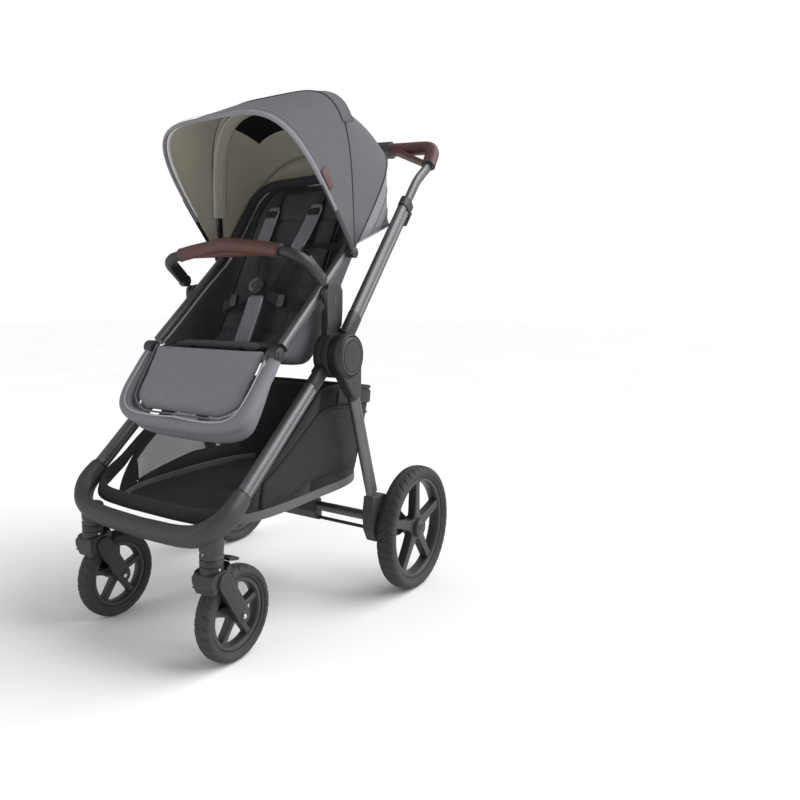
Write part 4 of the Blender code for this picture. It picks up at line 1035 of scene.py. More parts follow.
# ---------------------------------------------------------------- bumper bar
def bumper():
    """The leather-covered bar in front of the seat."""
    half = fillet([(BUMPER_X, *BUMPER_PIVOT), (0.1945, 0.184, 0.7715),
                   (0.12, 0.184, 0.787), (0.0, 0.176, 0.8)], 0.05, 14)
    path = mirrored(resample(half, 50))

    def swelling(share):
        end = min(share, 1 - share)
        return 1.0 + 0.55 * max(0.0, 1 - abs(end - 0.125) / 0.125) ** 0.6
    shapes = [sweep(path, oval((0.0165, 0.0165), 36, power=0.9), BUMPER_NORMAL, swelling)]
    for side, _ in SIDES:
        shapes.append(disc(side, BUMPER_PIVOT, 0.014, (0.189, 0.206), 0.002))
        shapes.append(disc(side, BUMPER_PIVOT, 0.008, (0.205, 0.2072), 0.0012))
        low, high = Vector((side * 0.1975, 0.244, 0.73)), Vector((side * 0.194, 0.201, 0.764))
        shapes.append(sweep([low, low.lerp(high, 0.06), low.lerp(high, 0.5), low.lerp(high, 0.94), high],
                            round_box((0.017, 0.03), 0.007, 6), (1, 0, 0), ends(0.86)))
        middle, lean = low.lerp(high, 0.3), (high - low).normalized()
        shapes.append(sweep([middle + Vector((side * 0.007, 0, 0)),
                             middle + Vector((side * 0.0096, 0, 0))], oval((0.017, 0.01), 32), lean))
    make("bumper_arms_moulded", shapes, BLACK, "bumper", ["bumper_bar"], "black_plastic")
    cover = mirrored([p for p in resample(half, 120) if p.x < 0.14])
    outer = oval((0.0305, 0.029), 44, power=0.92)
    make("bumper_leather", [hollow(cover, outer, oval((0.0173, 0.0173), 44), BUMPER_NORMAL)],
         LEATHER, "bumper", ["bumper_cover"], "brown_leather")
    back = Vector(BUMPER_NORMAL).normalized()
    under = [p + Vector((0, 0.0105, -0.0112)) for p in cover[2:-2]]
    make("bumper_seam", [stitches(under, 0.004, 0.002)], DARK_THREAD, "bumper")
    rings = []
    for a, b in ((cover[0], cover[1]), (cover[-1], cover[-2])):
        step = (b - a).normalized()
        rings.append(hollow([a - step * 0.005, a + step * 0.0006], oval((0.0295, 0.028), 44),
                            oval((0.0172, 0.0172), 44), back))
    make("bumper_end_rings", rings, SOFT_BLACK, "bumper")


# ---------------------------------------------------------------- canopy
def arch_point(arch, turn, angle, shift=0.0):
    """The point of a canopy arch at a turn, with the arch leaning at an angle."""
    c, s = cos(turn), sin(turn)
    power = 2.0 / CANOPY_POWER
    x = (arch[0] + shift) * copysign(abs(c) ** power, c)
    radius = (arch[1] + shift) * abs(s) ** power
    return Vector((x, *along(radians(angle), radius, CANOPY_PIVOT)))


def turns(first, count):
    """Even steps over the arch, from one side to the other."""
    return [first + (pi - 2 * first) * (i / count) for i in range(count + 1)]


def arch_row(arch, angle, shift, first, count):
    """A line over the canopy at one bow angle."""
    return [arch_point(arch, t, angle, shift) for t in turns(first, count)]


def bow_side(angle):
    """The direction square to the plane of a bow."""
    spin = radians(angle)
    return (0, -sin(spin), cos(spin))


def bow_rod(arch, angle, count, size):
    """A flat bow from pivot to pivot; its bare ends are twice as wide as the rest."""
    first = Vector((arch[0], *along(radians(angle), BOW_START, CANOPY_PIVOT)))
    line = [first] + arch_row(arch, angle, 0.0, 0.03, count) + [flipped(first)]
    return sweep(line, oval(size, 20), bow_side(angle),
                 lambda q: (1.0 if min(q, 1 - q) < 0.17 else 0.5, 1.0))


def canopy_panel(arch, start, end, rows, columns, shift=0.0, sag=0.01, first=0.0012):
    """A sheet between two bow angles that sinks a little between them."""
    grid = []
    for i in range(rows + 1):
        share = i / rows
        angle = start + (end - start) * share
        row = []
        for turn in turns(first, columns):
            drop = sag * sin(pi * share) * sin(turn) ** 1.5
            point = arch_point(arch, turn, angle, shift)
            centre = Vector((0, *CANOPY_PIVOT))
            inward = Vector((point.x * 0.5, point.y, point.z)) - centre
            point = point - inward.normalized() * (drop + ruffle(point))
            row.append(point)
        grid.append(row)
    return grid


def rear_rows(shift=0.0, count=16, columns=64, first=0.004):
    """From the rear arch down to the hem behind the seat."""
    rows = []
    arch = [arch_point(REAR_ARCH, t, REAR_ARCH_ANGLE, shift) for t in turns(first, columns)]
    for i in range(count + 1):
        share = i / count
        row = []
        for point in arch:
            hem = Vector((point.x * REAR_HEM[0] / REAR_ARCH[0], REAR_HEM[1] + shift, REAR_HEM[2]))
            edge = 1 - abs(point.x / 0.2) ** 3
            bulge = Vector((0, 0.02 * sin(pi * share) * edge, 0))
            place = point.lerp(hem, share) + bulge
            fold = 0.0012 * sin(point.x * 95 + share * 3) * sin(pi * share)
            row.append(place + Vector((0, fold + ruffle(place), 0)))
        rows.append(row)
    return rows


def canopy():
    """Cloth panels, linings, bows, seams and the leather tag."""
    front = canopy_panel(FRONT_ARCH, FRONT_EDGE_ANGLE, FRONT_SEAM, 22, 84, 0.0006, FRONT_SAG)
    sheet("canopy_front_cloth", front, CANOPY, "canopy_hood",
          ["canopy_front_bow"], 0.0018, stands_for=["canopy_front"], slot="canopy_fabric")
    rear = canopy_panel(REAR_ARCH, PANEL_MEET, REAR_ARCH_ANGLE, 20, 84, 0.0, REAR_SAG)
    sheet("canopy_rear_cloth", rear, CANOPY, "seat",
          ["canopy_middle_bow"], 0.0018, stands_for=["canopy_rear"], slot="canopy_fabric")
    # painted light: the back panel uses the brightened canopy cloth
    sheet("canopy_back_cloth", rear_rows(), CANOPY_PAINTED_LIGHT, "seat",
          ["seat_frame"], 0.0018, slot="canopy_fabric")
    # hem tube round the front bow, in the brightened canopy cloth as a painted highlight along the front
    # edge, and the bare black bow ends below it
    side = bow_side(FRONT_EDGE_ANGLE)
    eyes = [disc(s, CANOPY_PIVOT, EYE_RADIUS, (0.1996, 0.2054), 0.0015) for s, _ in SIDES]
    make("front_bow_moulded", [bow_rod(FRONT_BOW_ARCH, FRONT_EDGE_ANGLE, 90, (0.015, 0.0046))] + eyes,
         SOFT_BLACK, "canopy_hood", ["canopy_front_bow"], "black_plastic")
    covered = arch_row(FRONT_BOW_ARCH, FRONT_EDGE_ANGLE, -0.0008, 0.075, 110)
    make("canopy_front_hem", [sweep(covered, oval((0.0125, 0.0078), 20, power=0.9), side)],
         CANOPY_PAINTED_LIGHT, "canopy_hood", slot="canopy_fabric")
    tape = []
    for radial, behind in ((-0.0048, 0.2), (-0.0068, 1.1), (-0.0072, 2.0), (-0.005, 2.8)):
        tape.append([arch_point(FRONT_BOW_ARCH, t, FRONT_EDGE_ANGLE - behind, radial)
                     for t in turns(0.09, 96)])
    sheet("canopy_binding", tape, CREAM, "canopy_hood", ["canopy_front_hem"], 0.002)
    seam = arch_row(FRONT_ARCH, FRONT_EDGE_ANGLE - 3.4, 0.0014, 0.004, 120)
    make("canopy_hem_stitches", [stitches(seam)], THREAD, "canopy_hood")
    dark = arch_row(FRONT_ARCH, FRONT_SEAM, 0.0012, 0.0014, 140)
    make("canopy_seam_piping", [cord_on(dark, 0.0017)], DARK_PIPING, "canopy_hood")
    zipper = arch_row(REAR_ARCH, REAR_ARCH_ANGLE, 0.001, 0.004, 130)
    make("canopy_zip", [cord_on(zipper, 0.002)], DARK_PIPING, "seat")
    lines = rear_rows(0.0012)
    make("canopy_back_seams", [cord_on(lines[6], 0.0012), cord_on(lines[11], 0.0012)], RAIL, "seat")
    # painted light: the back hems use the brightened canopy cloth
    make("canopy_back_hem", [cord_on(lines[-1], 0.003), cord_on([row[0] for row in lines], 0.0024),
                             cord_on([row[-1] for row in lines], 0.0024)], CANOPY_PAINTED_LIGHT, "seat",
         slot="canopy_fabric")
    # flap over the vent, free at its rear edge
    flap = []
    for i in range(7):
        share = i / 6
        flap.append([arch_point(FRONT_ARCH, t, 95.0 - 6.5 * share, 0.0016 + 0.005 * share ** 1.6)
                     for t in turns(0.6, 48)])
    sheet("vent_flap", flap, CANOPY, "canopy_hood", ["canopy_front_cloth"], 0.0016)
    make("vent_flap_edge", [cord_on(flap[-1], 0.0014)], DARK_PIPING, "canopy_hood")
    # linings
    inner = canopy_panel(FRONT_ARCH, FRONT_EDGE_ANGLE - 0.4, FRONT_SEAM + 0.5, 18, 72, -0.0026,
                         FRONT_SAG, 0.0016)
    sheet("canopy_front_lining", inner, LINING, "canopy_hood", ["canopy_front_hem"], 0.001)
    inner = canopy_panel(REAR_ARCH, PANEL_MEET, REAR_ARCH_ANGLE, 18, 72, -0.0045, REAR_SAG,
                         0.004)
    sheet("canopy_rear_lining", inner, LINING, "seat", ["canopy_rear_cloth"], 0.001)
    sheet("canopy_back_lining", rear_rows(-0.0045, 12, 56), LINING, "seat", ["canopy_rear_cloth"], 0.001)
    behind = canopy_panel(REAR_ARCH, PANEL_MEET, REAR_ARCH_ANGLE, 36, 72, -0.0074, REAR_SAG,
                          0.004)
    window = [row[21:52] for row in behind[6:22]]
    sheet("canopy_window_net", window, NET, "seat", ["canopy_rear_lining"], 0.0008)
    make("canopy_window_binding", [cord_on(border(window), 0.0018)], LINING, "seat")
    # middle bow and its sleeve
    angle = MIDDLE_ANGLE - 2.0
    side = bow_side(angle)
    eyes = [disc(s, CANOPY_PIVOT, EYE_RADIUS, (0.189, 0.1942), 0.001, 0.0074) for s, _ in SIDES]
    make("middle_bow_moulded", [bow_rod(MIDDLE_BOW_ARCH, angle, 80, (0.016, 0.0044))] + eyes, SOFT_BLACK,
         "canopy_rib", ["canopy_middle_bow"], "black_plastic")
    covered = arch_row(MIDDLE_BOW_ARCH, angle, -0.0016, 0.06, 90)
    sleeve_profile = oval((0.044, 0.0074), 28, power=0.62)
    make("bow_sleeve", [sweep(covered, sleeve_profile, side)], SLEEVE, "canopy_rib")
    edges = []
    for lean in (-1, 1):
        route = arch_row(MIDDLE_BOW_ARCH, angle + lean * 3.1, -0.0052, 0.062, 90)
        edges.append(stitches(route))
    for end in (0, -1):
        point = covered[end]
        edges.append(stitches([point + Vector(side) * v + Vector((0, 0, 0.008))
                               for v in (-0.02, 0.0, 0.02)]))
    make("bow_sleeve_stitches", edges, THREAD, "canopy_rib")
    # a blank leather tag on the front edge
    tag = []
    for i in range(5):
        angle = 129.0 - 6.2 * i / 4
        row = []
        for k in range(9):
            radius = 0.158 + 0.044 * k / 8
            x = FRONT_ARCH[0] * (1 - (radius / FRONT_ARCH[1]) ** CANOPY_POWER) ** (1 / CANOPY_POWER)
            row.append(Vector((x + 0.003, *along(radians(angle), radius, CANOPY_PIVOT))))
        tag.append(row)
    make("leather_tag", [surface_grid(tag)], LEATHER, "canopy_hood", slot="brown_leather",
         thick=0.0016, offset=1.0, bevel=0.0004)


FRONT_FOLDS = ("canopy_front_cloth", "canopy_front_lining", "canopy_hem_stitches",
               "canopy_seam_piping", "vent_flap", "vent_flap_edge", "leather_tag")
REAR_FOLDS = ("canopy_rear_cloth", "canopy_rear_lining", "canopy_window_net", "canopy_window_binding")


def canopy_folds():
    """Gives each canopy cloth piece a mesh of its own."""
    for names, angle, keep in ((FRONT_FOLDS, FRONT_EDGE_ANGLE, 0.6), (REAR_FOLDS, REAR_ARCH_ANGLE, 0.45)):
        for name in names:
            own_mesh(bpy.data.objects[name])


# ---------------------------------------------------------------- seat
SHELL_LINE = [(0.14, 0.566), (0.195, 0.553), (0.25, 0.543), (0.284, 0.549), (0.318, 0.592),
              (0.365, 0.66), (0.42, 0.745), (0.475, 0.83), (0.535, 0.955)]
FRAME_LINE = [(0.148, 0.58), (0.178, 0.606), (0.215, 0.638), (0.252, 0.672), (0.292, 0.706),
              (0.332, 0.738), (0.376, 0.776), (0.425, 0.838), (0.478, 0.915)]
PAD_LINE = [(0.136, 0.59), (0.18, 0.581), (0.225, 0.575), (0.262, 0.578), (0.292, 0.607),
            (0.325, 0.67), (0.365, 0.745), (0.405, 0.822), (0.448, 0.905), (0.474, 0.945)]
LINER_LINE = [(0.142, 0.577), (0.187, 0.567), (0.232, 0.56), (0.272, 0.564), (0.305, 0.602),
              (0.34, 0.668), (0.382, 0.742), (0.424, 0.82), (0.486, 0.915), (0.516, 0.962)]
LINER_EDGE = [(0.148, 0.584), (0.18, 0.61), (0.217, 0.642), (0.254, 0.675), (0.294, 0.71),
              (0.334, 0.742), (0.378, 0.78), (0.43, 0.848), (0.48, 0.918), (0.512, 0.966)]


def line_rows(low_line, high_line, across, steps, narrow=None):
    """A sheet between a low and a high line; across gives (x, share of the way up)."""
    lows = smooth_line([(0, *p) for p in low_line], steps)
    highs = smooth_line([(0, *p) for p in high_line], steps)
    lows, highs = resample(lows, 44), resample(highs, 44)
    rows = []
    for i, (low, high) in enumerate(zip(lows, highs)):
        factor = narrow(i / 44) if narrow else 1.0
        row = []
        for x, share in across:
            place = low.lerp(high, share)
            place = Vector((x * factor, place.y, place.z))
            row.append(place + Vector((0, ruffle(place), ruffle(place) * 0.5)))
        rows.append(row)
    return rows


def smooth_across(points, steps=4):
    """A smooth version of an (x, share) profile."""
    line = smooth_line([Vector((x, share, 0)) for x, share in points], steps)
    return [(p.x, min(1.0, max(0.0, p.y))) for p in line]


def seat():
    """Frame tube, shell, liner and cushion."""
    half = fillet([(SEAT_TUBE_X, 0.144, 0.589), (SEAT_TUBE_X, 0.379, 0.792),
                   (SEAT_TUBE_X, 0.515, 0.97), (0.0, 0.52, 0.976)], 0.065, 14)
    shapes = [sweep(mirrored(half), oval((0.024, 0.02), 40), SEAT_NORMAL)]
    for side, _ in SIDES:
        shapes.append(disc(side, CANOPY_PIVOT, 0.007, (0.18, 0.199), 0.0008))
    make("seat_frame_tube", shapes, METAL, "seat", ["seat_frame"], "satin_grey_aluminium", sharp=30)
    arch = [p for p in resample(mirrored(half), 320) if p.z > 0.8]
    # painted shade: arch cover, liner and cushion use the darkened seat melange
    make("seat_arch_cover", [hollow(resample(arch, 90), oval((0.029, 0.025), 36),
                                    oval((0.0242, 0.0202), 36), SEAT_NORMAL)],
         SEAT_WITH_PAINTED_SHADE, "seat", slot="seat_fabric")
    across = smooth_across(((-0.165, 1.0), (-0.163, 0.55), (-0.156, 0.18), (-0.136, 0.02),
                            (-0.07, 0.0), (0.0, 0.0), (0.07, 0.0), (0.136, 0.02),
                            (0.156, 0.18), (0.163, 0.55), (0.165, 1.0)))
    shell = line_rows(SHELL_LINE, FRAME_LINE, across, 6,
                      lambda s: 1.0 - 0.16 * max(0.0, (s - 0.86) / 0.14) ** 2)
    sheet("seat_shell_cloth", shell, SEAT_SIDE, "seat", ["seat_frame_tube"],
          0.0022, stands_for=["seat_shell"], slot="seat_fabric")
    across = smooth_across(((-0.165, 1.0), (-0.156, 0.45), (-0.144, 0.14), (-0.13, 0.02),
                            (-0.07, 0.0), (0.0, 0.0), (0.07, 0.0), (0.13, 0.02),
                            (0.144, 0.14), (0.156, 0.45), (0.165, 1.0)))
    liner = line_rows(LINER_LINE, LINER_EDGE, across, 6,
                      lambda s: 1.0 - 0.2 * max(0.0, (s - 0.88) / 0.12) ** 2)
    sheet("seat_liner_cloth", liner, SEAT_WITH_PAINTED_SHADE, "seat", ["seat_frame_tube"], 0.002, slot="seat_fabric")
    for index, name in ((0, "right"), (-1, "left")):
        out = copysign(0.0015, liner[5][index].x)
        edge = [row[index] + Vector((out, 0, 0.0015)) for row in liner]
        make("seat_edge_piping_" + name, [cord_on(edge, 0.0026)], PIPING, "seat")
    top = [p + Vector((0, -0.002, 0.003)) for p in liner[-1]]
    make("seat_top_piping", [cord_on(top, 0.0026)], PIPING, "seat")
    seams = []
    for index in (12, len(across) - 13):
        seams.append(stitches([row[index] + Vector((0, -0.0012, 0.0012)) for row in liner]))
    make("seat_liner_stitches", seams, DARK_THREAD, "seat")
    strip = [p + Vector((0, -0.003, 0.0)) for p in shell[0]]
    make("seat_front_hem", [cord_on(strip, 0.002)], PIPING, "seat")
    # quilted cushion over seat and backrest, in the seat melange with painted shade
    line = curve([(0, *p) for p in PAD_LINE], 6, 40)
    directions = tangents(line)
    ups = [Vector((0, -d.z, d.y)) for d in directions]

    def pad_width(share):
        return 0.126 - 0.02 * max(0.0, (share - PAD_BEND) / 0.15) ** 2
    bm = slab(line, ups, pad_width, 0.01, 0.0045)
    cushion = swell("seat_cushion", bm, 0.006, 0.005)
    quilt(cushion, line, directions)
    padded("seat_cushion", [cushion], SEAT_WITH_PAINTED_SHADE, "seat", 0.5, stands_for=["seat_pad"],
           slot="seat_fabric", sub=1)
    piped = []
    for x in (-0.128, 0.128):
        piped.append(cord_on([Vector((x * (1 - 0.16 * max(0.0, (i / 40 - PAD_BEND) / 0.15) ** 2),
                                      p.y, p.z)) for i, p in enumerate(line)], 0.0026))
    make("seat_cushion_piping", piped, DARK_PIPING, "seat")


def quilt(shape, line, directions):
    """Sewn channels pressed into the cushion: two lengthwise, four across."""
    channels = [0.3, 0.52, 0.68, 0.84]
    total, done = row_length(line), distances(line)
    for vertex in shape.verts:
        best = min(range(len(line)), key=lambda i: (line[i].y - vertex.co.y) ** 2
                   + (line[i].z - vertex.co.z) ** 2)
        direction = directions[best]
        up = Vector((0, -direction.z, direction.y))
        offset = (vertex.co - line[best]).dot(up)
        share = (done[best] + (vertex.co - line[best]).dot(direction)) / total
        depth = 0.0
        for channel in channels:
            depth = max(depth, exp(-((share - channel) * total / 0.006) ** 2))
        depth = max(depth, exp(-((abs(vertex.co.x) - 0.07) / 0.005) ** 2))
        vertex.co -= up * offset * 0.55 * depth


# straps of the left side, (x, y, z) from the top or from the buckle
SHOULDER_PAD = ((0.064, 0.428, 0.904), (0.062, 0.406, 0.868), (0.058, 0.378, 0.827),
                (0.053, 0.354, 0.794))
UPPER_WEBBING = ((0.066, 0.462, 0.95), (0.065, 0.444, 0.925), (0.064, 0.424, 0.899),
                 (0.0625, 0.408, 0.872))
LAP_WEBBING = ((0.02, 0.289, 0.696), (0.06, 0.284, 0.681), (0.098, 0.289, 0.67), (0.124, 0.302, 0.664))
LINK_WEBBING = ((0.018, 0.2868, 0.709), (0.027, 0.2985, 0.724), (0.042, 0.327, 0.76),
                (0.0545, 0.36, 0.802))


def strap(side, points, steps, count):
    """The path of one strap on either side."""
    return curve([(side * x, y, z) for x, y, z in points], steps, count)


def harness():
    """Shoulder pads, webbing, crotch pad and buckle."""
    for s, name in SIDES:
        path = strap(s, SHOULDER_PAD, 8, 22)

        def crown(share):
            return (0.8 + 0.2 * sin(pi * min(1.0, max(0.0, share))) ** 0.35,
                    0.6 + 0.55 * sin(pi * share) ** 0.3)
        padded("shoulder_pad_" + name, [sweep(path, oval((0.036, 0.009), 28, power=0.6), (1, 0, 0),
                                              crown)], PAD_CLOTH, "seat", 0.5,
               stands_for=["shoulder_strap_" + name], slot="strap_pad_fabric")
        rims = []
        for edge in (-1, 1):
            rims.append(cord_on([p + Vector((edge * 0.0168, -0.001, 0.001)) for p in path[2:-2]], 0.0016))
        make("shoulder_pad_edges_" + name, rims, PIPING, "seat")
        upper, lap = strap(s, UPPER_WEBBING, 6, 16), strap(s, LAP_WEBBING, 8, 20)
        link = strap(s, LINK_WEBBING, 8, 20)
        flat = round_box((0.024, 0.0018), 0.0008, 2)
        make("harness_webbing_" + name, [sweep(upper, flat, (1, 0, 0)), sweep(lap, flat, (0, 0.3, 1)),
                                         sweep(link, round_box((0.023, 0.002), 0.0008, 2), (1, 0, 0))],
             WEBBING, "seat", slot="black_plastic")
        adjusters = []
        for centre, wide, tall, normal in (
                (Vector((s * 0.0632, 0.413, 0.885)), 0.03, 0.02, Vector((0, -0.8, 0.6))),
                (Vector((s * 0.07, 0.28, 0.679)), 0.018, 0.03, Vector((0, -0.95, 0.3)))):
            adjusters.append(sweep([centre - normal * 0.0028, centre - normal * 0.0018,
                                    centre + normal * 0.0034, centre + normal * 0.0044],
                                   round_box((wide, tall), 0.004, 4), (1, 0, 0), ends(0.94)))
        make("harness_adjusters_" + name, adjusters, SOFT_BLACK, "seat")
    path = curve([(0, 0.226, 0.585), (0, 0.24, 0.612), (0, 0.268, 0.665), (0, 0.28, 0.69)], 8, 24)
    padded("crotch_pad_sewn", [sweep(path, oval((0.042, 0.013), 28, power=0.65), (1, 0, 0),
                                     lambda share: (0.86 + 0.14 * sin(pi * share) ** 0.4,
                                                    0.7 + 0.3 * sin(pi * share) ** 0.4))], PAD_CLOTH,
           "seat", 0.5, stands_for=["crotch_pad"], slot="strap_pad_fabric")
    edges = [cord_on([p + Vector((e * 0.0192, -0.002, 0.0012)) for p in path[1:-1]], 0.0016)
             for e in (-1, 1)]
    make("crotch_pad_edges", edges, PIPING, "seat")
    n = BUCKLE_NORMAL
    disc_path = [BUCKLE + n * d for d in (0.0, 0.0015, 0.0095, 0.012, 0.013)]
    body = sweep(disc_path, oval((0.042, 0.042), 64, power=1.0), (1, 0, 0),
                 lambda share: 1.0 if 0.05 < share < 0.75 else (0.97 if share < 0.5 else 0.9))
    make("buckle_moulded", [body], SOFT_BLACK, "seat", ["buckle"], "black_plastic", bevel=0.0006)
    face = [(0.0186 * cos(t), 0.0186 * sin(t)) for t in (pi * (0.5 + i / 24) for i in range(25))]
    inner = [(0.0102 * cos(t), 0.0102 * sin(t)) for t in (pi * (1.5 - i / 24) for i in range(25))]
    plate = sweep([BUCKLE + n * 0.0125, BUCKLE + n * 0.0139], face + inner, (1, 0, 0))
    make("buckle_face_plate", [plate], RAIL, "seat")
    cap = sweep([BUCKLE + n * d for d in (0.01, 0.0125, 0.0138, 0.0142)],
                oval((0.0183, 0.0183), 48, power=1.0), (1, 0, 0),
                lambda share: 1.0 if share < 0.85 else 0.86)
    make("buckle_button_moulded", [cap], DARK, "buckle_press", ["buckle_button"])


# ---------------------------------------------------------------- footrest
def pad_half(share):
    """Half the footrest cushion's width, with rounded lower corners."""
    return 0.157 - 0.004 * share - 0.05 * max(0.0, (share - 0.7) / 0.3) ** 2.6


def footrest():
    """The padded footrest on its U-shaped tube."""
    normal = Vector((0, -0.77, 0.64))
    half = smooth_line([(SEAT_TUBE_X, 0.124, 0.57), (0.1775, 0.09, 0.529), (0.1762, 0.056, 0.488),
                        (0.168, 0.037, 0.462), (0.147, 0.0275, 0.4455), (0.11, 0.0225, 0.4372),
                        (0.055, 0.0203, 0.4338), (0.0, 0.02, 0.433)], 8)
    path = mirrored(resample(half, 56))
    make("footrest_wrap", [sweep(path, oval((0.029, 0.027), 36, power=0.9), normal,
                                 lambda s: 1.0 - 0.14 * max(0.0, 1 - min(s, 1 - s) / 0.05))],
         FOOT, "footrest", ["footrest_frame"], "footrest_fabric")
    piping = [p + normal * 0.0142 + Vector((-copysign(0.009, p.x) if abs(p.x) > 0.1
                                            else -p.x * 0.09, 0.0, 0.0))
              + Vector((0, 0.006, 0.008)) * (1 - min(1.0, abs(p.x) / 0.16)) for p in path[3:-3]]
    make("footrest_piping", [cord_on(piping, 0.0019)], PIPING, "footrest")
    skirt = []
    for drop, back in ((0.004, 0.006), (0.016, 0.012), (0.026, 0.02), (0.03, 0.03)):
        row = []
        for p in path[6:-6]:
            lower = min(1.0, max(0.0, (0.56 - p.z) / 0.1))
            row.append(Vector((p.x * 0.985, p.y + back * (0.5 + 0.5 * lower),
                               p.z - drop * lower - 0.004 + ruffle(p))))
        skirt.append(row)
    sheet("footrest_skirt", skirt, FOOT, "footrest", ["footrest_wrap"], 0.002, slot="footrest_fabric")
    knuckles = []
    for side, _ in SIDES:
        knuckles.append(disc(side, FOOT_HINGE, 0.0152, (0.1655, 0.1905), 0.003))
        knuckles.append(disc(side, FOOT_HINGE, 0.009, (0.189, 0.1922), 0.001))
    make("footrest_knuckles", knuckles, BLACK, "footrest", slot="black_plastic")
    start, end = Vector((0, 0.1235, 0.583)), Vector((0, 0.035, 0.45))
    line = [start.lerp(end, i / 24) for i in range(25)]
    bm = slab(line, [normal] * 25, pad_half, 0.009, 0.004, 0.004)
    pad = swell("footrest_cushion", bm, 0.006, 0.005)
    padded("footrest_cushion", [pad], FOOT, "footrest", 0.6, stands_for=["footrest_pad"],
           slot="footrest_fabric", sub=1)
    edge = [p + Vector((pad_half(i / 24) + 0.0025, 0, 0)) + normal * 0.001 for i, p in enumerate(line)]
    loop = edge + [Vector((edge[-1].x * (1 - k / 8), edge[-1].y, edge[-1].z)) for k in range(1, 8)]
    loop = loop + [flipped(p) for p in reversed(loop)]
    make("footrest_cushion_piping", [cord_on(loop, 0.0021)], FOOT, "footrest")


# ---------------------------------------------------------------- basket
def basket_ring(level, count=96, shift=0.0):
    """One ring of the basket: level 0 to 1 is the floor, 1 to 2 the side up to the rim."""
    ring = []
    for i in range(count + 1):
        angle = 2.0 * pi * i / count
        c, s = cos(angle), sin(angle)
        power = 0.62 if s < 0 else 0.5
        x = copysign(abs(c) ** power, c)
        y = copysign(abs(s) ** power, s)
        scale, rise = min(level, 1.0), max(level - 1.0, 0.0)
        half = 0.186 * scale + 0.01 * rise + shift
        front, rear = -0.034 - 0.008 * rise - shift, 0.478 + 0.068 * rise + shift
        place = 0.5 * (front + rear) + y * scale * 0.5 * (rear - front)
        slope = 0.274 + 0.86 * (place + 0.004)
        top = max(0.2735, min(slope, 0.497, 0.497 - 0.125 * (place - 0.3)))
        floor = 0.2585 + 0.035 * max(scale - 0.9, 0.0)
        sag = 0.0035 * sin(pi * rise) * cos(place * 9 + x * 2)
        ring.append(Vector((x * (half + sag), place, floor + (top - floor) * rise)))
    return ring


def basket():
    """The tub under the seat, its side windows, bands and rails."""
    floor = [basket_ring(level) for level in (0.02, 0.35, 0.65, 0.85, 0.95, 1.0)]
    side = [basket_ring(1.0 + 0.1 * i) for i in range(11)]
    rows = floor + side[1:]
    shape = surface_grid(rows)
    columns = len(rows[0]) - 1
    opened = []
    for index, face in enumerate(shape.faces):
        place = face.calc_center_median()
        if (7 <= index // columns < 13 and abs(place.x) > 0.12 and WINDOW_Y[0] < place.y < WINDOW_Y[1]):
            opened.append(face)
    bmesh.ops.delete(shape, geom=opened, context="FACES")
    area = sum(face.calc_area() for face in shape.faces)
    piece = make("basket_tub", [shape], BASKET, "front_frame", ["basket"],
                 "basket_fabric", thick=0.0022, sharp=60)
    rim_path = [p + Vector((0, 0, 0.0005)) for p in basket_ring(2.0, 140)]
    make("basket_rim_binding", [cord_on(rim_path, 0.004)], BASKET, "front_frame", slot="basket_fabric")
    half = smooth_line([(0.189, 0.15, 0.415), (0.1885, 0.09, 0.37), (0.187, 0.042, 0.332),
                        (0.186, 0.008, 0.312), (0.179, -0.022, 0.293), (0.15, -0.039, 0.283),
                        (0.08, -0.0445, 0.28), (0.0, -0.045, 0.2795)], 8)
    make("basket_front_roll", [sweep(mirrored(resample(half, 50)),
                                     oval((0.03, 0.015), 28, power=0.8), (0, 0.35, 0.93),
                                     lambda s: 0.3 + 0.7 * min(1.0, 4.5 * min(s, 1 - s)))],
         BLACK_CLOTH, "front_frame", slot="basket_fabric")
    band = [p for p in basket_ring(1.9, 260, 0.002) if p.y > 0.3]
    fold = [p for p in basket_ring(1.72, 260, 0.0026) if p.y > 0.3]
    make("basket_rear_band", [sweep(band, round_box((0.03, 0.0075), 0.0034, 4), (0, 0.1, 1)),
                              cord_on(fold, 0.0016)], BLACK_CLOTH, "front_frame", slot="basket_fabric")
    rails = []
    for sign, _ in SIDES:
        low = [p for p in basket_ring(1.03, 240, 0.0012) if p.x * sign > 0.15 and p.y > 0.0]
        low.sort(key=lambda p: p.y)
        rails.append(sweep(low, oval((0.006, 0.019), 20, power=0.7), (1, 0, 0)))
    make("basket_bottom_rails", rails, RAIL, "front_frame", slot="basket_fabric")
    for sign, name in SIDES:
        net = []
        for i in range(9):
            level = 1.2 + 0.6 * i / 8
            ring = [p for p in basket_ring(level, 400, 0.0022)
                    if p.x * sign > 0.12 and WINDOW_Y[0] < p.y < WINDOW_Y[1]]
            ring.sort(key=lambda p: p.y)
            net.append(resample(ring, 30))
        sheet("basket_side_net_" + name, net, BASKET_NET, "front_frame",
              ["basket_tub"], 0.0008, slot="basket_fabric")
        make("basket_net_binding_" + name, [cord_on(border(net), 0.0026)], BASKET, "front_frame")


# ---------------------------------------------------------------- small parts kept from CAD
def kept_nodes():
    """Materials and soft edges for the CAD nodes that stay visible."""
    for name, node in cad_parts.items():
        if node.hide_render:
            continue
        dark = any(word in name for word in ("release", "fold_button", "housing"))
        surface = METAL if "axle_bar" in name else DARK if dark else BLACK
        node.data.materials.clear()
        node.data.materials.append(surface)
        soften(node, 0.0006, 2)


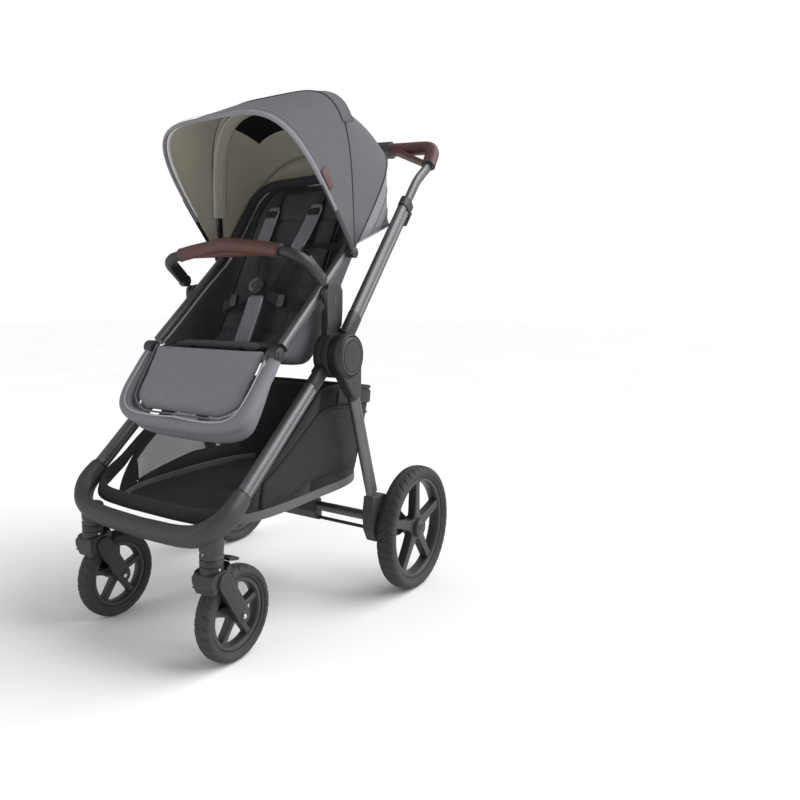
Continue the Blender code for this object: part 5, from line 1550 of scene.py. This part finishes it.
# ---------------------------------------------------------------- stage
def stage():
    """Floor, world, lights and the camera of the photograph."""
    floor_mesh = bpy.data.meshes.new("floor")
    size = 14.0
    floor_mesh.from_pydata([(-size, -size, 0), (size, -size, 0), (size, size, 0),
                            (-size, size, 0)], [], [(0, 1, 2, 3)])
    n = Nodes("studio_floor")
    here = n.where["Object"]
    n.link(n.tint(n.noise(here, 2.0, 3.0), (0.9, 0.9, 0.9), (0.93, 0.93, 0.93)), "Base Color")
    n.fix("Roughness", 0.9)
    floor_mesh.materials.append(n.material)
    floor = put("floor", floor_mesh)
    world = bpy.data.worlds.new("studio")
    bpy.context.scene.world = world
    world.use_nodes = True
    tree = world.node_tree
    seen, lit = tree.nodes["Background"], tree.nodes.new("ShaderNodeBackground")
    seen.inputs[0].default_value = lit.inputs[0].default_value = (1.0, 1.0, 1.0, 1)
    seen.inputs[1].default_value, lit.inputs[1].default_value = 1.0, 0.5
    choose = tree.nodes.new("ShaderNodeMixShader")
    tree.links.new(tree.nodes.new("ShaderNodeLightPath").outputs["Is Camera Ray"], choose.inputs[0])
    tree.links.new(lit.outputs[0], choose.inputs[1])
    tree.links.new(seen.outputs[0], choose.inputs[2])
    tree.links.new(choose.outputs[0], tree.nodes["World Output"].inputs[0])
    light = bpy.data.lights.new("key", "SUN")
    light.energy, light.angle = 2.9, radians(60)
    lamp = put("key", light)
    lamp.rotation_euler = Vector((0.58, 0.5, 0.64)).to_track_quat("Z", "Y").to_euler()
    for name, place, aim, size, power in (
            ("front", (-1.4, -2.8, 1.5), (0, 0, 0.7), 1.6, 16.0),
            ("rim", (2.4, 0.2, 1.6), (0, 0, 0.6), 1.2, 10.0)):
        light = bpy.data.lights.new(name, "AREA")
        light.energy, light.size = power, size
        lamp = put(name, light)
        lamp.location = place
        lamp.rotation_euler = (Vector(aim) - Vector(place)).to_track_quat("-Z", "Y").to_euler()
    camera = bpy.data.cameras.new("camera")
    camera.lens, camera.sensor_width = 32.74, 36.0
    camera.shift_x, camera.shift_y = 0.1137, -0.0442
    holder = put("camera", camera)
    holder.location = (1.0688, -1.3195, 0.698)
    holder.rotation_euler = (radians(90 - 5.661), 0, radians(35.972))
    bpy.context.scene.camera = holder
    bpy.context.scene.view_settings.view_transform = "Standard"


chassis_tubes()
seat_towers()
front_bar()
handle()
wheels()
casters()
bumper()
canopy()
canopy_folds()
seat()
harness()
footrest()
basket()
kept_nodes()
stage()
